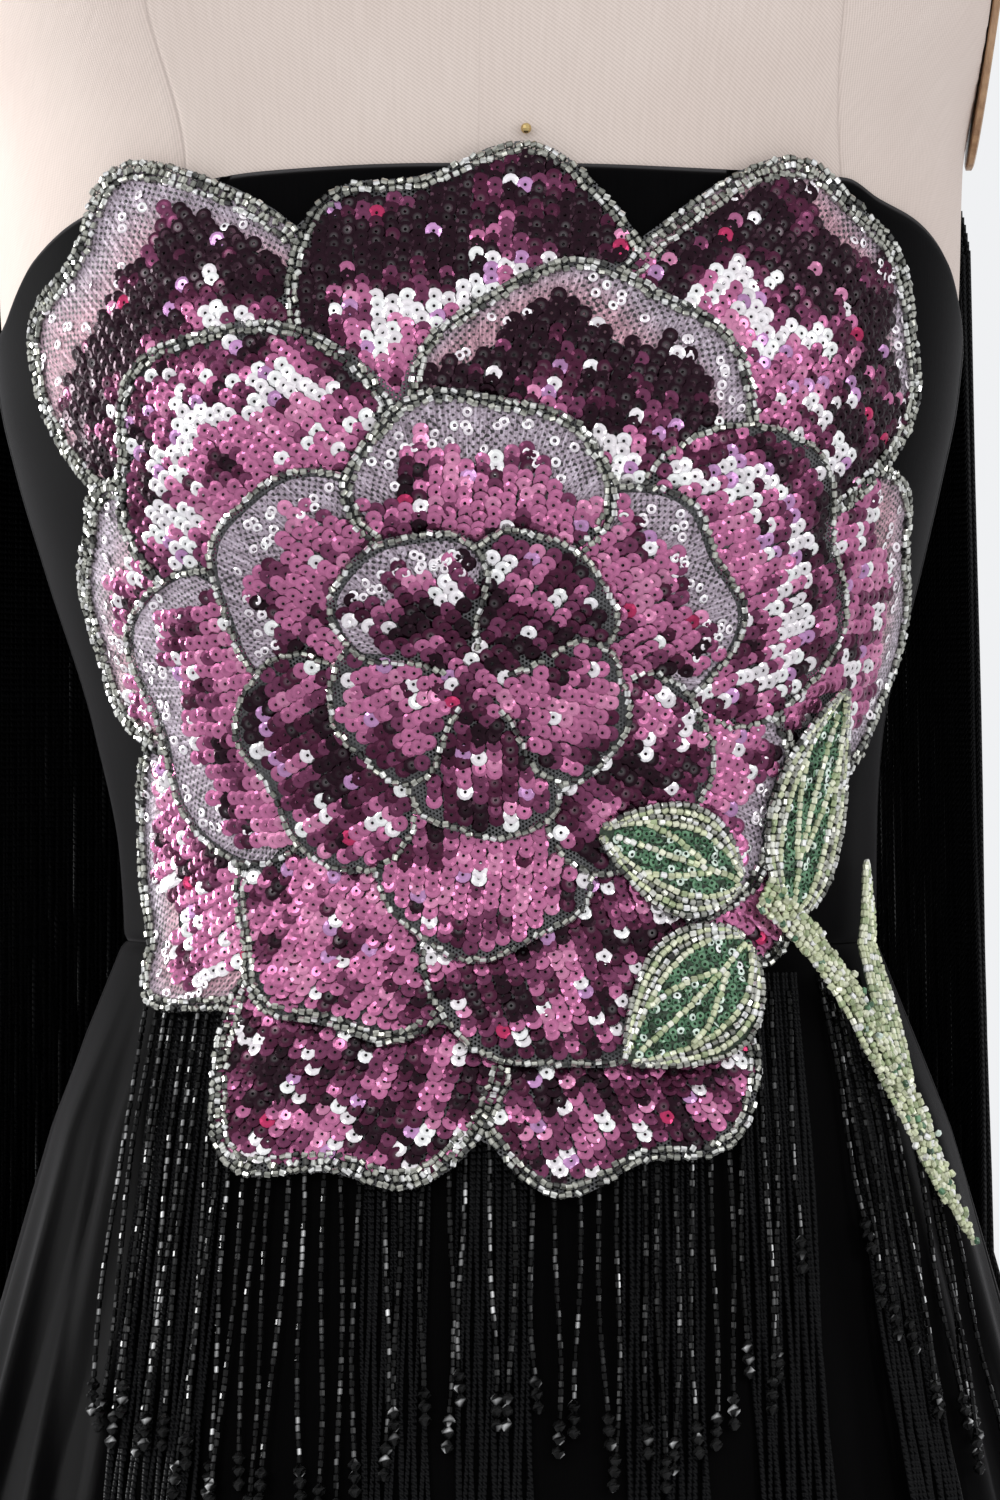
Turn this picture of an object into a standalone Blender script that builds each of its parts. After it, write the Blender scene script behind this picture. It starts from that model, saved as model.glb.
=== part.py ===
# Strapless evening gown with a large sequin bloom and fringe, standing on its dress form.
# Metres, +Z up. The wearer faces -Y and the origin is the middle of the base's underside, on the floor.
# A place round the body is a turn in degrees from the middle of the front, positive towards +X.

import math

import bmesh
import bpy
from mathutils import Vector

for old in list(bpy.data.objects):
    bpy.data.objects.remove(old, do_unlink=True)

# Driving sizes
WAIST_Z = 1.020
HEM_Z = 0.010
SEAM_GAP = 0.0003
CLOTH_INSIDE = 0.0008
CLOTH_OUTSIDE = 0.0026
FRINGE_END_Z = 0.500
TURN_WIDTH = 0.125
BODICE_MIDDLE_Z = 1.130
BODICE_LEVEL_ROWS_TOP_Z = 1.190
BODICE_STEP = 6.0
SKIRT_STEP = 4.0

# The dress form's cross-sections
FORM_COLUMNS = ("z", "half_width", "front", "back", "centre_x", "square")
FORM_SECTIONS = (
    (0.760, 0.1430, 0.0950, 0.1060, 0.0000, 0.12),
    (0.830, 0.1550, 0.1005, 0.1110, 0.0000, 0.12),
    (0.965, 0.1250, 0.0935, 0.0900, 0.0000, 0.12),
    (1.020, 0.1102, 0.0870, 0.0800, 0.0000, 0.12),
    (1.045, 0.1109, 0.0880, 0.0805, -0.0007, 0.12),
    (1.083, 0.1158, 0.0950, 0.0850, -0.0034, 0.12),
    (1.129, 0.1284, 0.1060, 0.0930, -0.0050, 0.12),
    (1.159, 0.1363, 0.1090, 0.0980, -0.0060, 0.12),
    (1.182, 0.1411, 0.1085, 0.1010, -0.0063, 0.12),
    (1.215, 0.1438, 0.1050, 0.1040, -0.0062, 0.14),
    (1.250, 0.1446, 0.0980, 0.1060, -0.0060, 0.18),
    (1.300, 0.1580, 0.0880, 0.1060, -0.0055, 0.26),
    (1.350, 0.1640, 0.0780, 0.1030, -0.0050, 0.30),
    (1.378, 0.1560, 0.0710, 0.0950, -0.0040, 0.24),
    (1.398, 0.1180, 0.0650, 0.0840, -0.0030, 0.10),
    (1.411, 0.0760, 0.0600, 0.0710, -0.0020, 0.00),
    (1.425, 0.0590, 0.0560, 0.0600, -0.0010, 0.00),
    (1.460, 0.0550, 0.0530, 0.0540, 0.0000, 0.00),
)

# The skirt's cross-sections, measured where its cloth would touch the form
SKIRT_COLUMNS = ("z", "half_width", "front", "back", "centre_x", "square")
SKIRT_SECTIONS = (
    (0.000, 0.4270, 0.3390, 0.3390, 0.0000, 0.12),
    (0.965, 0.1325, 0.1020, 0.0995, 0.0000, 0.12),
    (1.020, 0.1102, 0.0870, 0.0800, 0.0000, 0.12),
)

# Two soft mounds of the bust, given with the turn and height of each one's middle
BUST_TURN = 27.0
BUST_TURN_SPREAD = 19.0
BUST_Z = 1.166
BUST_Z_SPREAD = 0.046
BUST_RISE = 0.012

# The skirt's folds: troughs between full rounds of cloth, deeper towards the hem
FOLD_COLUMNS = ("turn", "spread", "top_z", "hem_depth")
FOLDS = (
    (-8.0, 5.5, 0.80, 0.014),
    (14.0, 5.0, 0.74, 0.012),
    (31.0, 5.0, 0.88, 0.020),
    (44.0, 4.2, 0.99, 0.030),
    (55.0, 4.0, 0.96, 0.024),
    (66.0, 4.2, 1.00, 0.034),
    (79.0, 4.8, 0.95, 0.030),
    (95.0, 5.0, 0.98, 0.036),
    (112.0, 5.0, 0.93, 0.032),
    (128.0, 5.2, 0.97, 0.036),
    (146.0, 5.0, 0.95, 0.030),
    (163.0, 5.2, 0.98, 0.034),
    (-171.0, 5.0, 0.94, 0.030),
    (-153.0, 5.2, 0.98, 0.036),
    (-136.0, 5.0, 0.95, 0.030),
    (-119.0, 5.2, 0.98, 0.034),
    (-102.0, 5.0, 0.94, 0.034),
    (-86.0, 4.6, 0.99, 0.036),
    (-71.0, 4.2, 0.97, 0.030),
    (-60.0, 3.6, 1.00, 0.032),
    (-50.0, 3.6, 0.99, 0.028),
    (-39.0, 4.2, 0.96, 0.024),
    (-25.0, 5.0, 0.84, 0.016),
)

# The bodice's top edge on the wearer's right (photo left), left and round the back
EDGE_COLUMNS = ("turn", "z")
TOP_EDGE = (
    (-180.0, 1.2520),
    (-122.0, 1.2520),
    (-106.0, 1.2450),
    (-98.0, 1.2230),
    (-90.0, 1.1970),
    (-76.0, 1.2035),
    (-64.0, 1.2205),
    (-52.0, 1.2325),
    (-43.0, 1.2369),
    (-25.0, 1.2437),
    (-5.0, 1.2457),
    (8.0, 1.2457),
    (27.0, 1.2445),
    (47.0, 1.2432),
    (53.0, 1.2378),
    (62.0, 1.2320),
    (71.0, 1.2225),
    (80.0, 1.2070),
    (90.0, 1.1970),
    (98.0, 1.2230),
    (106.0, 1.2450),
    (122.0, 1.2520),
    (180.0, 1.2520),
)

# Seams between the panels, used by the bodice and the skirt alike
PANEL_COLUMNS = ("name", "first_turn", "last_turn")
PANELS = (
    ("centre_front", -30.0, 30.0),
    ("side_front_left", 30.0, 84.0),
    ("side_back_left", 84.0, 132.0),
    ("back_left", 132.0, 180.0),
    ("back_right", 180.0, 228.0),
    ("side_back_right", 228.0, 276.0),
    ("side_front_right", 276.0, 330.0),
)
ZIP_HALF_WIDTH = 0.0030
ZIP_TOP_Z = 1.2515
ZIP_PROUD = 0.0002

# The bloom's rings of petals, from the outer one to the heart
BLOOM_X = -0.002
BLOOM_Z = 1.096
PLATE_THICKNESS = 0.0011
PLATE_STEP = 0.0020
PETAL_OVERLAP = 1.30
PETAL_COLUMNS = ("turn", "length")
OUTER_PETALS = (
    (0.0, 0.152),
    (41.0, 0.176),
    (82.0, 0.160),
    (122.0, 0.126),
    (162.0, 0.148),
    (201.0, 0.152),
    (241.0, 0.150),
    (280.0, 0.138),
    (320.0, 0.174),
)
MIDDLE_PETALS = (
    (21.0, 0.122),
    (68.0, 0.118),
    (116.0, 0.106),
    (165.0, 0.112),
    (214.0, 0.114),
    (263.0, 0.114),
    (315.0, 0.124),
)
INNER_PETALS = (
    (2.0, 0.082),
    (62.0, 0.078),
    (122.0, 0.074),
    (183.0, 0.078),
    (244.0, 0.077),
    (303.0, 0.080),
)
HEART_PETALS = (
    (35.0, 0.046),
    (108.0, 0.043),
    (180.0, 0.045),
    (252.0, 0.043),
    (324.0, 0.047),
)
BLOOM_COLUMNS = ("name", "petals", "dip", "inner_radius", "columns", "rings")
BLOOM_RINGS = (
    ("bloom_outer", OUTER_PETALS, 0.34, 0.094, 54, 5),
    ("bloom_middle", MIDDLE_PETALS, 0.34, 0.060, 52, 5),
    ("bloom_inner", INNER_PETALS, 0.36, 0.030, 36, 4),
    ("bloom_heart", HEART_PETALS, 0.38, 0.000, 25, 4),
)

# Leaves lie on the bloom's lower right. Their places are in the flat cloth: across, and height
LEAF_COLUMNS = ("name", "base_x", "base_z", "heading", "length", "width", "level")
LEAVES = (
    ("leaf_high", 0.096, 1.029, 20.0, 0.070, 0.034, 2),
    ("leaf_inward", 0.076, 1.039, -72.0, 0.048, 0.032, 3),
    ("leaf_low", 0.078, 1.022, -128.0, 0.056, 0.036, 2.3),
    ("leaf_slender", 0.133, 0.972, 12.7, 0.075, 0.014, 0),
)
STEM_COLUMNS = ("across", "z", "width", "level")
STEM = (
    (0.084, 1.035, 0.0080, 3.0),
    (0.103, 1.021, 0.0085, 3.0),
    (0.118, 1.003, 0.0115, 2.0),
    (0.127, 0.983, 0.0135, 1.0),
    (0.1335, 0.962, 0.0110, 0.6),
    (0.1405, 0.944, 0.0070, 0.2),
    (0.147, 0.932, 0.0030, 0.0),
)

# Where the beaded strands end below each place across, seen from the front
BEAD_END_COLUMNS = ("x", "z")
BEAD_ENDS = (
    (-0.1110, 0.886),
    (-0.0950, 0.884),
    (-0.0720, 0.866),
    (-0.0400, 0.862),
    (-0.0300, 0.884),
    (0.0000, 0.892),
    (0.0300, 0.880),
    (0.0360, 0.874),
    (0.0580, 0.876),
    (0.0660, 0.896),
    (0.0780, 0.898),
    (0.0850, 0.934),
    (0.0960, 0.940),
    (0.1020, 0.920),
    (0.1140, 0.896),
    (0.1300, 0.880),
    (0.1500, 0.862),
)
BEAD_ENDS_UNEVEN = 0.006
BEAD_GROUP_COLUMNS = ("name", "first_turn", "last_turn", "count", "lean")
BEAD_GROUPS = (
    ("bead_fringe_right", -58.0, -27.0, 14, 0.45),
    ("bead_fringe_centre", -25.5, 23.0, 19, 0.10),
    ("bead_fringe_left", 25.0, 44.0, 7, 0.10),
    ("bead_fringe_stem", 51.0, 66.0, 10, 0.60),
)
BAND_COLUMNS = ("name", "first_x", "last_x", "count", "lean")
CHAIN_BANDS = (
    ("chain_fringe_a", -0.0960, -0.0735, 7, 0.40),
    ("chain_fringe_b", -0.0380, -0.0205, 5, 0.05),
    ("chain_fringe_c", -0.0120, 0.0085, 6, 0.05),
    ("chain_fringe_d", 0.0345, 0.0560, 6, 0.10),
    ("chain_fringe_e", 0.0665, 0.0850, 5, 0.25),
    ("chain_fringe_f", 0.0930, 0.1040, 5, 0.60),
)
CURTAIN_COLUMNS = ("name", "first_turn", "last_turn", "count")
CURTAINS = (
    ("back_fringe_left", 99.5, 177.5, 32),
    ("back_fringe_right", 182.5, 260.5, 32),
)
STRAND_WIDTH = 0.0022
FRONT_STOPS = (0.965, 0.905, 0.830, 0.740, 0.630)
STRIP_THICKNESS = 0.0012
CHAIN_OFFSET = 0.0003
BEAD_OFFSET = 0.0018
CURTAIN_OFFSET = 0.0007
CURTAIN_REST_Z = 0.925
CURTAIN_SPREAD_Z = 1.200
FRINGE_LINE_RADIUS = 0.124
FRINGE_LINE_DROP = 0.016
APPLIQUE_OFFSET = 0.0036
BODICE_LIFT = 0.0012

# Stand and fittings of the dress form
FORM_BOTTOM_Z = 0.760
POLE_RADIUS = 0.016
BASE_RADIUS = 0.180
BASE_HEIGHT = 0.024
ARMHOLE_COLUMNS = ("z", "reach")
ARMHOLE_PLANE = ((1.248, 0.1446), (1.302, 0.1514), (1.380, 0.1580))
PIN_X = 0.0075
PIN_Z = 1.2558


def as_rows(columns, rows):
    return [dict(zip(columns, row)) for row in rows]


def read_table(rows, key, value, at):
    # A value read from a table's rows, straight between two of them
    if at <= rows[0][key]:
        return rows[0][value]
    for low, high in zip(rows, rows[1:]):
        if at <= high[key]:
            share = (at - low[key]) / (high[key] - low[key])
            return low[value] + share * (high[value] - low[value])
    return rows[-1][value]


def smooth_step(low, high, at):
    share = min(max((at - low) / (high - low), 0.0), 1.0)
    return share * share * (3.0 - 2.0 * share)


def signed_turn(turn):
    return (turn + 180.0) % 360.0 - 180.0


def bell(distance, spread):
    return math.exp(-0.5 * (distance / spread) ** 2)


FORM_ROWS = as_rows(FORM_COLUMNS, FORM_SECTIONS)
SKIRT_ROWS = as_rows(SKIRT_COLUMNS, SKIRT_SECTIONS)
FOLD_ROWS = as_rows(FOLD_COLUMNS, FOLDS)
EDGE_ROWS = as_rows(EDGE_COLUMNS, TOP_EDGE)
PANEL_ROWS = as_rows(PANEL_COLUMNS, PANELS)
BEAD_END_ROWS = as_rows(BEAD_END_COLUMNS, BEAD_ENDS)
STEM_ROWS = as_rows(STEM_COLUMNS, STEM)
ARMHOLE_ROWS = as_rows(ARMHOLE_COLUMNS, ARMHOLE_PLANE)


def section_point(rows, turn, z, offset, depth_in=0.0):
    # A point of the cross-section at height z, pushed out by offset and in by a fold's depth
    angle = math.radians(turn)
    out = offset - depth_in
    half_width = read_table(rows, "z", "half_width", z) + out
    facing = math.cos(angle)
    depth = read_table(rows, "z", "front" if facing > 0.0 else "back", z) + out
    square = read_table(rows, "z", "square", z)
    x = half_width * math.sin(angle)
    y = -depth * facing * (1.0 + square * math.sin(angle) ** 2)
    if facing > 0.0:
        side = abs(signed_turn(turn)) - BUST_TURN
        y -= BUST_RISE * bell(side, BUST_TURN_SPREAD) * bell(z - BUST_Z, BUST_Z_SPREAD)
    return Vector((x + read_table(rows, "z", "centre_x", z), y, z))


def form_point(turn, z, offset=0.0):
    # The dress form's surface, cut flat where an armhole plate sits
    point = section_point(FORM_ROWS, turn, z, offset)
    if z > ARMHOLE_ROWS[0]["z"]:
        middle = read_table(FORM_ROWS, "z", "centre_x", z)
        reach = read_table(ARMHOLE_ROWS, "z", "reach", z) + offset
        point.x = middle + min(max(point.x - middle, -reach), reach)
    return point


def fold_depth(turn, z):
    depth = 0.0
    for fold in FOLD_ROWS:
        if z < fold["top_z"]:
            share = (fold["top_z"] - z) / (fold["top_z"] - HEM_Z)
            reach = fold["spread"] * (0.8 + 0.35 * share)
            depth += fold["hem_depth"] * share ** 0.8 * bell(signed_turn(turn - fold["turn"]), reach)
    if z > FORM_BOTTOM_Z - 0.02:
        # Over the hips a fold is only as deep as the room between the cloth and the form
        room = 0.0042 * smooth_step(WAIST_Z, WAIST_Z - 0.12, z)
        return min(depth, room)
    return depth


def cloth_point(turn, z, offset, folded=True):
    # The garment's surface: the form's own above the waist, and the skirt's below it
    if z >= WAIST_Z:
        return form_point(turn, z, offset)
    return section_point(SKIRT_ROWS, turn, z, offset, fold_depth(turn, z) if folded else 0.0)


def turn_at(x, z, offset):
    # The turn at which the front of the cloth has this x
    rows = FORM_ROWS if z >= WAIST_Z else SKIRT_ROWS
    half_width = read_table(rows, "z", "half_width", z) + offset
    share = (x - read_table(rows, "z", "centre_x", z)) / half_width
    return math.degrees(math.asin(min(max(share, -0.995), 0.995)))


def material(name, colour, roughness, metallic=0.0):
    made = bpy.data.materials.new(name)
    made.use_nodes = True
    shader = made.node_tree.nodes["Principled BSDF"]
    shader.inputs["Base Color"].default_value = (*colour, 1.0)
    shader.inputs["Roughness"].default_value = roughness
    shader.inputs["Metallic"].default_value = metallic
    made.diffuse_color = (*colour, 1.0)
    return made


def add_mesh(name, points, faces, colour_material):
    mesh = bpy.data.meshes.new(name)
    mesh.from_pydata(points, [], faces)
    mesh.materials.append(colour_material)
    work = bmesh.new()
    work.from_mesh(mesh)
    bmesh.ops.recalc_face_normals(work, faces=work.faces)
    work.to_mesh(mesh)
    work.free()
    made = bpy.data.objects.new(name, mesh)
    bpy.context.scene.collection.objects.link(made)
    return made


def sheet_solid(name, outer, inner, colour_material, closed=False):
    # A closed wall between two grids of points; closed joins the last column to the first
    rows, columns = len(outer), len(outer[0])
    points = [p for row in outer for p in row] + [p for row in inner for p in row]
    lift = rows * columns
    steps = columns if closed else columns - 1

    def at(row, column, side):
        return side * lift + row * columns + column % columns

    faces = []
    for row in range(rows - 1):
        for column in range(steps):
            for side in (0, 1):
                faces.append((at(row, column, side), at(row, column + 1, side),
                              at(row + 1, column + 1, side), at(row + 1, column, side)))
    for column in range(steps):
        for row in (0, rows - 1):
            faces.append((at(row, column, 0), at(row, column + 1, 0),
                          at(row, column + 1, 1), at(row, column, 1)))
    if not closed:
        for row in range(rows - 1):
            for column in (0, columns - 1):
                faces.append((at(row, column, 0), at(row + 1, column, 0),
                              at(row + 1, column, 1), at(row, column, 1)))
    return add_mesh(name, points, faces, colour_material)


def turned_solid(name, profile, sides, colour_material):
    # A solid of revolution about Z from (radius, z) points, bottom to top, closed by flat ends
    points = []
    for radius, z in profile:
        for step in range(sides):
            angle = 2.0 * math.pi * step / sides
            points.append((radius * math.cos(angle), radius * math.sin(angle), z))
    faces = []
    for ring in range(len(profile) - 1):
        for step in range(sides):
            after = (step + 1) % sides
            faces.append((ring * sides + step, ring * sides + after,
                          (ring + 1) * sides + after, (ring + 1) * sides + step))
    faces.append(tuple(reversed(range(sides))))
    faces.append(tuple((len(profile) - 1) * sides + step for step in range(sides)))
    made = add_mesh(name, points, faces, colour_material)
    made.data.shade_smooth()
    return made


def spaced(first, last, count):
    return [first + (last - first) * step / (count - 1) for step in range(count)]


CREPE = material("black_crepe", (0.012, 0.012, 0.013), 0.55)
LINEN = material("form_linen", (0.72, 0.65, 0.60), 0.90)
WOOD = material("form_wood", (0.42, 0.25, 0.13), 0.45)
STEEL = material("stand_metal", (0.55, 0.55, 0.56), 0.30, 1.0)
BRASS = material("pin_brass", (0.60, 0.45, 0.20), 0.30, 1.0)
SEQUIN = material("sequin_mauve", (0.45, 0.16, 0.30), 0.25, 0.6)
PLUM = material("sequin_plum", (0.20, 0.05, 0.13), 0.22, 0.6)
LEAF = material("bead_green", (0.38, 0.50, 0.30), 0.30)
BEADS = material("bead_black", (0.010, 0.010, 0.011), 0.15)
THREAD = material("thread_black", (0.014, 0.014, 0.015), 0.60)
ZIP = material("zip_black", (0.015, 0.015, 0.016), 0.50)


def build_form():
    heights = [row["z"] for row in FORM_ROWS]
    sides = 60
    points = []
    faces = []
    for z in heights:
        for step in range(sides):
            points.append(form_point(360.0 * step / sides, z))
    for ring in range(len(heights) - 1):
        for step in range(sides):
            after = (step + 1) % sides
            faces.append((ring * sides + step, ring * sides + after,
                          (ring + 1) * sides + after, (ring + 1) * sides + step))
    faces.append(tuple(range(sides)))
    faces.append(tuple((len(heights) - 1) * sides + step for step in range(sides)))
    body = add_mesh("form_body", points, faces, LINEN)
    body.data.shade_smooth()

    top = heights[-1] + SEAM_GAP
    cap = ((0.050, top), (0.052, top + 0.008), (0.046, top + 0.014), (0.016, top + 0.018),
           (0.012, top + 0.026), (0.018, top + 0.036), (0.014, top + 0.046), (0.004, top + 0.050))
    turned_solid("form_neck_cap", cap, 16, WOOD)

    collar_bottom = FORM_BOTTOM_Z - 0.040
    collar = ((0.022, collar_bottom), (0.030, collar_bottom + 0.006), (0.030, collar_bottom + 0.026),
              (0.044, FORM_BOTTOM_Z - 0.006), (0.044, FORM_BOTTOM_Z - SEAM_GAP))
    turned_solid("form_collar", collar, 20, STEEL)
    turned_solid("stand_pole", ((POLE_RADIUS, BASE_HEIGHT + SEAM_GAP),
                                (POLE_RADIUS, collar_bottom - SEAM_GAP)), 20, STEEL)
    base = ((BASE_RADIUS - 0.002, 0.0), (BASE_RADIUS, 0.003), (BASE_RADIUS, 0.008),
            (BASE_RADIUS - 0.006, 0.012), (0.060, 0.016), (0.030, BASE_HEIGHT), (0.010, BASE_HEIGHT))
    turned_solid("stand_base", base, 30, STEEL)


def build_armhole_plate(name, hand):
    # An oval wooden plate closing the armhole, leaning with the form's cut side
    sides = 22
    middle_z, half_height, half_depth, thickness = 1.313, 0.062, 0.033, 0.0024
    middle_y = 0.003
    outer, inner = [], []
    for ring_share in (1.0, 0.55):
        outer_ring, inner_ring = [], []
        for step in range(sides):
            angle = 2.0 * math.pi * step / sides
            z = middle_z + ring_share * half_height * math.sin(angle)
            y = middle_y + ring_share * half_depth * math.cos(angle)
            middle = read_table(FORM_ROWS, "z", "centre_x", z)
            reach = read_table(ARMHOLE_ROWS, "z", "reach", z) + 0.0006
            inner_ring.append((middle + hand * reach, y, z))
            outer_ring.append((middle + hand * (reach + thickness), y, z))
        outer.append(outer_ring)
        inner.append(inner_ring)
    points = outer[0] + outer[1] + inner[0] + inner[1]
    faces = []
    for side in (0, 2):
        for step in range(sides):
            after = (step + 1) % sides
            faces.append((side * sides + step, side * sides + after,
                          (side + 1) * sides + after, (side + 1) * sides + step))
        faces.append(tuple((side + 1) * sides + step for step in range(sides)))
    for step in range(sides):
        after = (step + 1) % sides
        faces.append((step, after, 2 * sides + after, 2 * sides + step))
    add_mesh(name, points, faces, WOOD)


def build_pin():
    # A dressmaker's pin pushed into the chest, of which only the round head shows
    radius, sides, rings = 0.0016, 10, 5
    seat = form_point(turn_at(PIN_X, PIN_Z, 0.0), PIN_Z)
    middle = Vector((PIN_X, seat.y - radius - SEAM_GAP, PIN_Z))
    work = bmesh.new()
    bmesh.ops.create_uvsphere(work, u_segments=sides, v_segments=rings + 1, radius=radius)
    mesh = bpy.data.meshes.new("form_pin")
    work.to_mesh(mesh)
    work.free()
    mesh.materials.append(BRASS)
    mesh.shade_smooth()
    made = bpy.data.objects.new("form_pin", mesh)
    made.location = middle
    bpy.context.scene.collection.objects.link(made)


def edge_inset(z, metres):
    # The turn, in degrees, that takes up this much cloth at height z
    rows = FORM_ROWS if z >= WAIST_Z else SKIRT_ROWS
    return math.degrees(metres / read_table(rows, "z", "half_width", z))


def panel_turns(panel, z, step, zip_gap):
    # A panel's columns, kept half a seam gap inside its two seams
    first, last = panel["first_turn"], panel["last_turn"]
    count = max(2, round((last - first) / step) + 1)
    inset = edge_inset(z, SEAM_GAP / 2.0)
    wide = edge_inset(z, ZIP_HALF_WIDTH + SEAM_GAP) if zip_gap else inset
    start = first + (wide if first == 180.0 else inset)
    end = last - (wide if last == 180.0 else inset)
    return spaced(start, end, count)


def build_bodice():
    level_rows = [WAIST_Z + SEAM_GAP]
    level_rows += [row["z"] for row in FORM_ROWS if WAIST_Z < row["z"] < BODICE_LEVEL_ROWS_TOP_Z]
    for panel in PANEL_ROWS:
        grids = []
        turns = panel_turns(panel, BODICE_MIDDLE_Z, BODICE_STEP, True)
        for offset in (CLOTH_OUTSIDE, CLOTH_INSIDE):
            grid = [[cloth_point(turn, z, offset) for turn in turns] for z in level_rows]
            for share in (0.5, 1.0):
                row = []
                for turn in turns:
                    top = read_table(EDGE_ROWS, "turn", "z", signed_turn(turn))
                    z = level_rows[-1] + share * (top - level_rows[-1])
                    row.append(cloth_point(turn, z, offset))
                grid.append(row)
            grids.append(grid)
        sheet_solid("bodice_" + panel["name"], grids[0], grids[1], CREPE)
    build_zip()


def build_zip():
    # The closed zip in the centre back seam, from the waist to the top edge
    half = edge_inset(BODICE_MIDDLE_Z, ZIP_HALF_WIDTH)
    grids = []
    for offset in (CLOTH_OUTSIDE + ZIP_PROUD, CLOTH_INSIDE):
        grid = []
        for z in spaced(WAIST_Z + SEAM_GAP, ZIP_TOP_Z, 10):
            grid.append([cloth_point(180.0 + side * half, z, offset) for side in (-1.0, 0.0, 1.0)])
        grids.append(grid)
    sheet_solid("back_zip", grids[0], grids[1], ZIP)


def build_skirt():
    heights = (WAIST_Z - SEAM_GAP / 2.0, 0.965, 0.915, 0.850, 0.760, 0.640, 0.490, 0.320, 0.150,
               HEM_Z)
    for panel in PANEL_ROWS:
        grids = []
        for offset in (CLOTH_OUTSIDE, CLOTH_INSIDE):
            grids.append([[cloth_point(turn, z, offset) for turn in panel_turns(panel, z, SKIRT_STEP, False)]
                          for z in heights])
        sheet_solid("skirt_" + panel["name"], grids[0], grids[1], CREPE)


def applique_base(z):
    # Height of the applique's underside off the bodice; on the skirt it clears the fringe strips
    on_skirt = 1.0 - smooth_step(WAIST_Z + 0.002, WAIST_Z + 0.030, z)
    return CLOTH_OUTSIDE + BODICE_LIFT + on_skirt * (APPLIQUE_OFFSET - BODICE_LIFT)


def flat_point(across, z, level, thickness):
    # A point of the flat applique design laid on the body
    turn = math.degrees(across / TURN_WIDTH)
    lift = applique_base(z) + level * PLATE_STEP + thickness
    return cloth_point(turn, z, lift, folded=False)


def petal_reach(petals, dip, angle):
    # How far the ring of petals reaches in this direction from the bloom's middle
    span = PETAL_OVERLAP * 180.0 / len(petals)
    best = 0.0
    for petal in as_rows(PETAL_COLUMNS, petals):
        share = abs(signed_turn(angle - petal["turn"])) / span
        if share < 1.0:
            best = max(best, petal["length"] * (1.0 - dip * share ** 3.0))
    return best


def build_bloom():
    for level, ring in enumerate(as_rows(BLOOM_COLUMNS, BLOOM_RINGS)):
        grids = []
        for thickness in (PLATE_THICKNESS, 0.0):
            grid = []
            for share in spaced(0.0, 1.0, ring["rings"]):
                row = []
                for step in range(ring["columns"]):
                    angle = 360.0 * step / ring["columns"]
                    reach = petal_reach(ring["petals"], ring["dip"], angle)
                    start = max(ring["inner_radius"], 0.004)
                    radius = start + share * (reach - start)
                    across = BLOOM_X + radius * math.sin(math.radians(angle))
                    z = BLOOM_Z + radius * math.cos(math.radians(angle))
                    row.append(flat_point(across, z, level, thickness))
                grid.append(row)
            grids.append(grid)
        shade = PLUM if level % 2 else SEQUIN
        sheet_solid(ring["name"], grids[0], grids[1], shade, closed=True)


def build_leaf(leaf):
    # A pointed oval, widest near its middle, laid across by its heading from straight up
    heading = math.radians(leaf["heading"])
    along = (math.sin(heading), math.cos(heading))
    side = (math.cos(heading), -math.sin(heading))
    grids = []
    for thickness in (PLATE_THICKNESS, 0.0):
        grid = []
        for share in spaced(0.04, 0.985, 8):
            half = 0.5 * leaf["width"] * math.sin(math.pi * share ** 0.8) ** 0.8
            row = []
            for lean in (-1.0, -0.35, 0.35, 1.0):
                across = leaf["base_x"] + along[0] * share * leaf["length"] + side[0] * lean * half
                z = leaf["base_z"] + along[1] * share * leaf["length"] + side[1] * lean * half
                row.append(flat_point(across, z, leaf["level"], thickness))
            grid.append(row)
        grids.append(grid)
    sheet_solid(leaf["name"], grids[0], grids[1], LEAF)


def build_stem():
    grids = []
    count = 13
    for thickness in (PLATE_THICKNESS, 0.0):
        grid = []
        for share in spaced(0.0, len(STEM_ROWS) - 1.0, count):
            index = min(int(share), len(STEM_ROWS) - 2)
            part = share - index
            low, high = STEM_ROWS[index], STEM_ROWS[index + 1]
            across = low["across"] + part * (high["across"] - low["across"])
            z = low["z"] + part * (high["z"] - low["z"])
            width = low["width"] + part * (high["width"] - low["width"])
            level = low["level"] + part * (high["level"] - low["level"])
            direction = Vector((high["across"] - low["across"], high["z"] - low["z"])).normalized()
            row = []
            for lean in (-0.5, 0.0, 0.5):
                row.append(flat_point(across - direction.y * lean * width,
                                      z + direction.x * lean * width, level, thickness))
            grid.append(row)
        grids.append(grid)
    sheet_solid("stem", grids[0], grids[1], LEAF)


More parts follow.
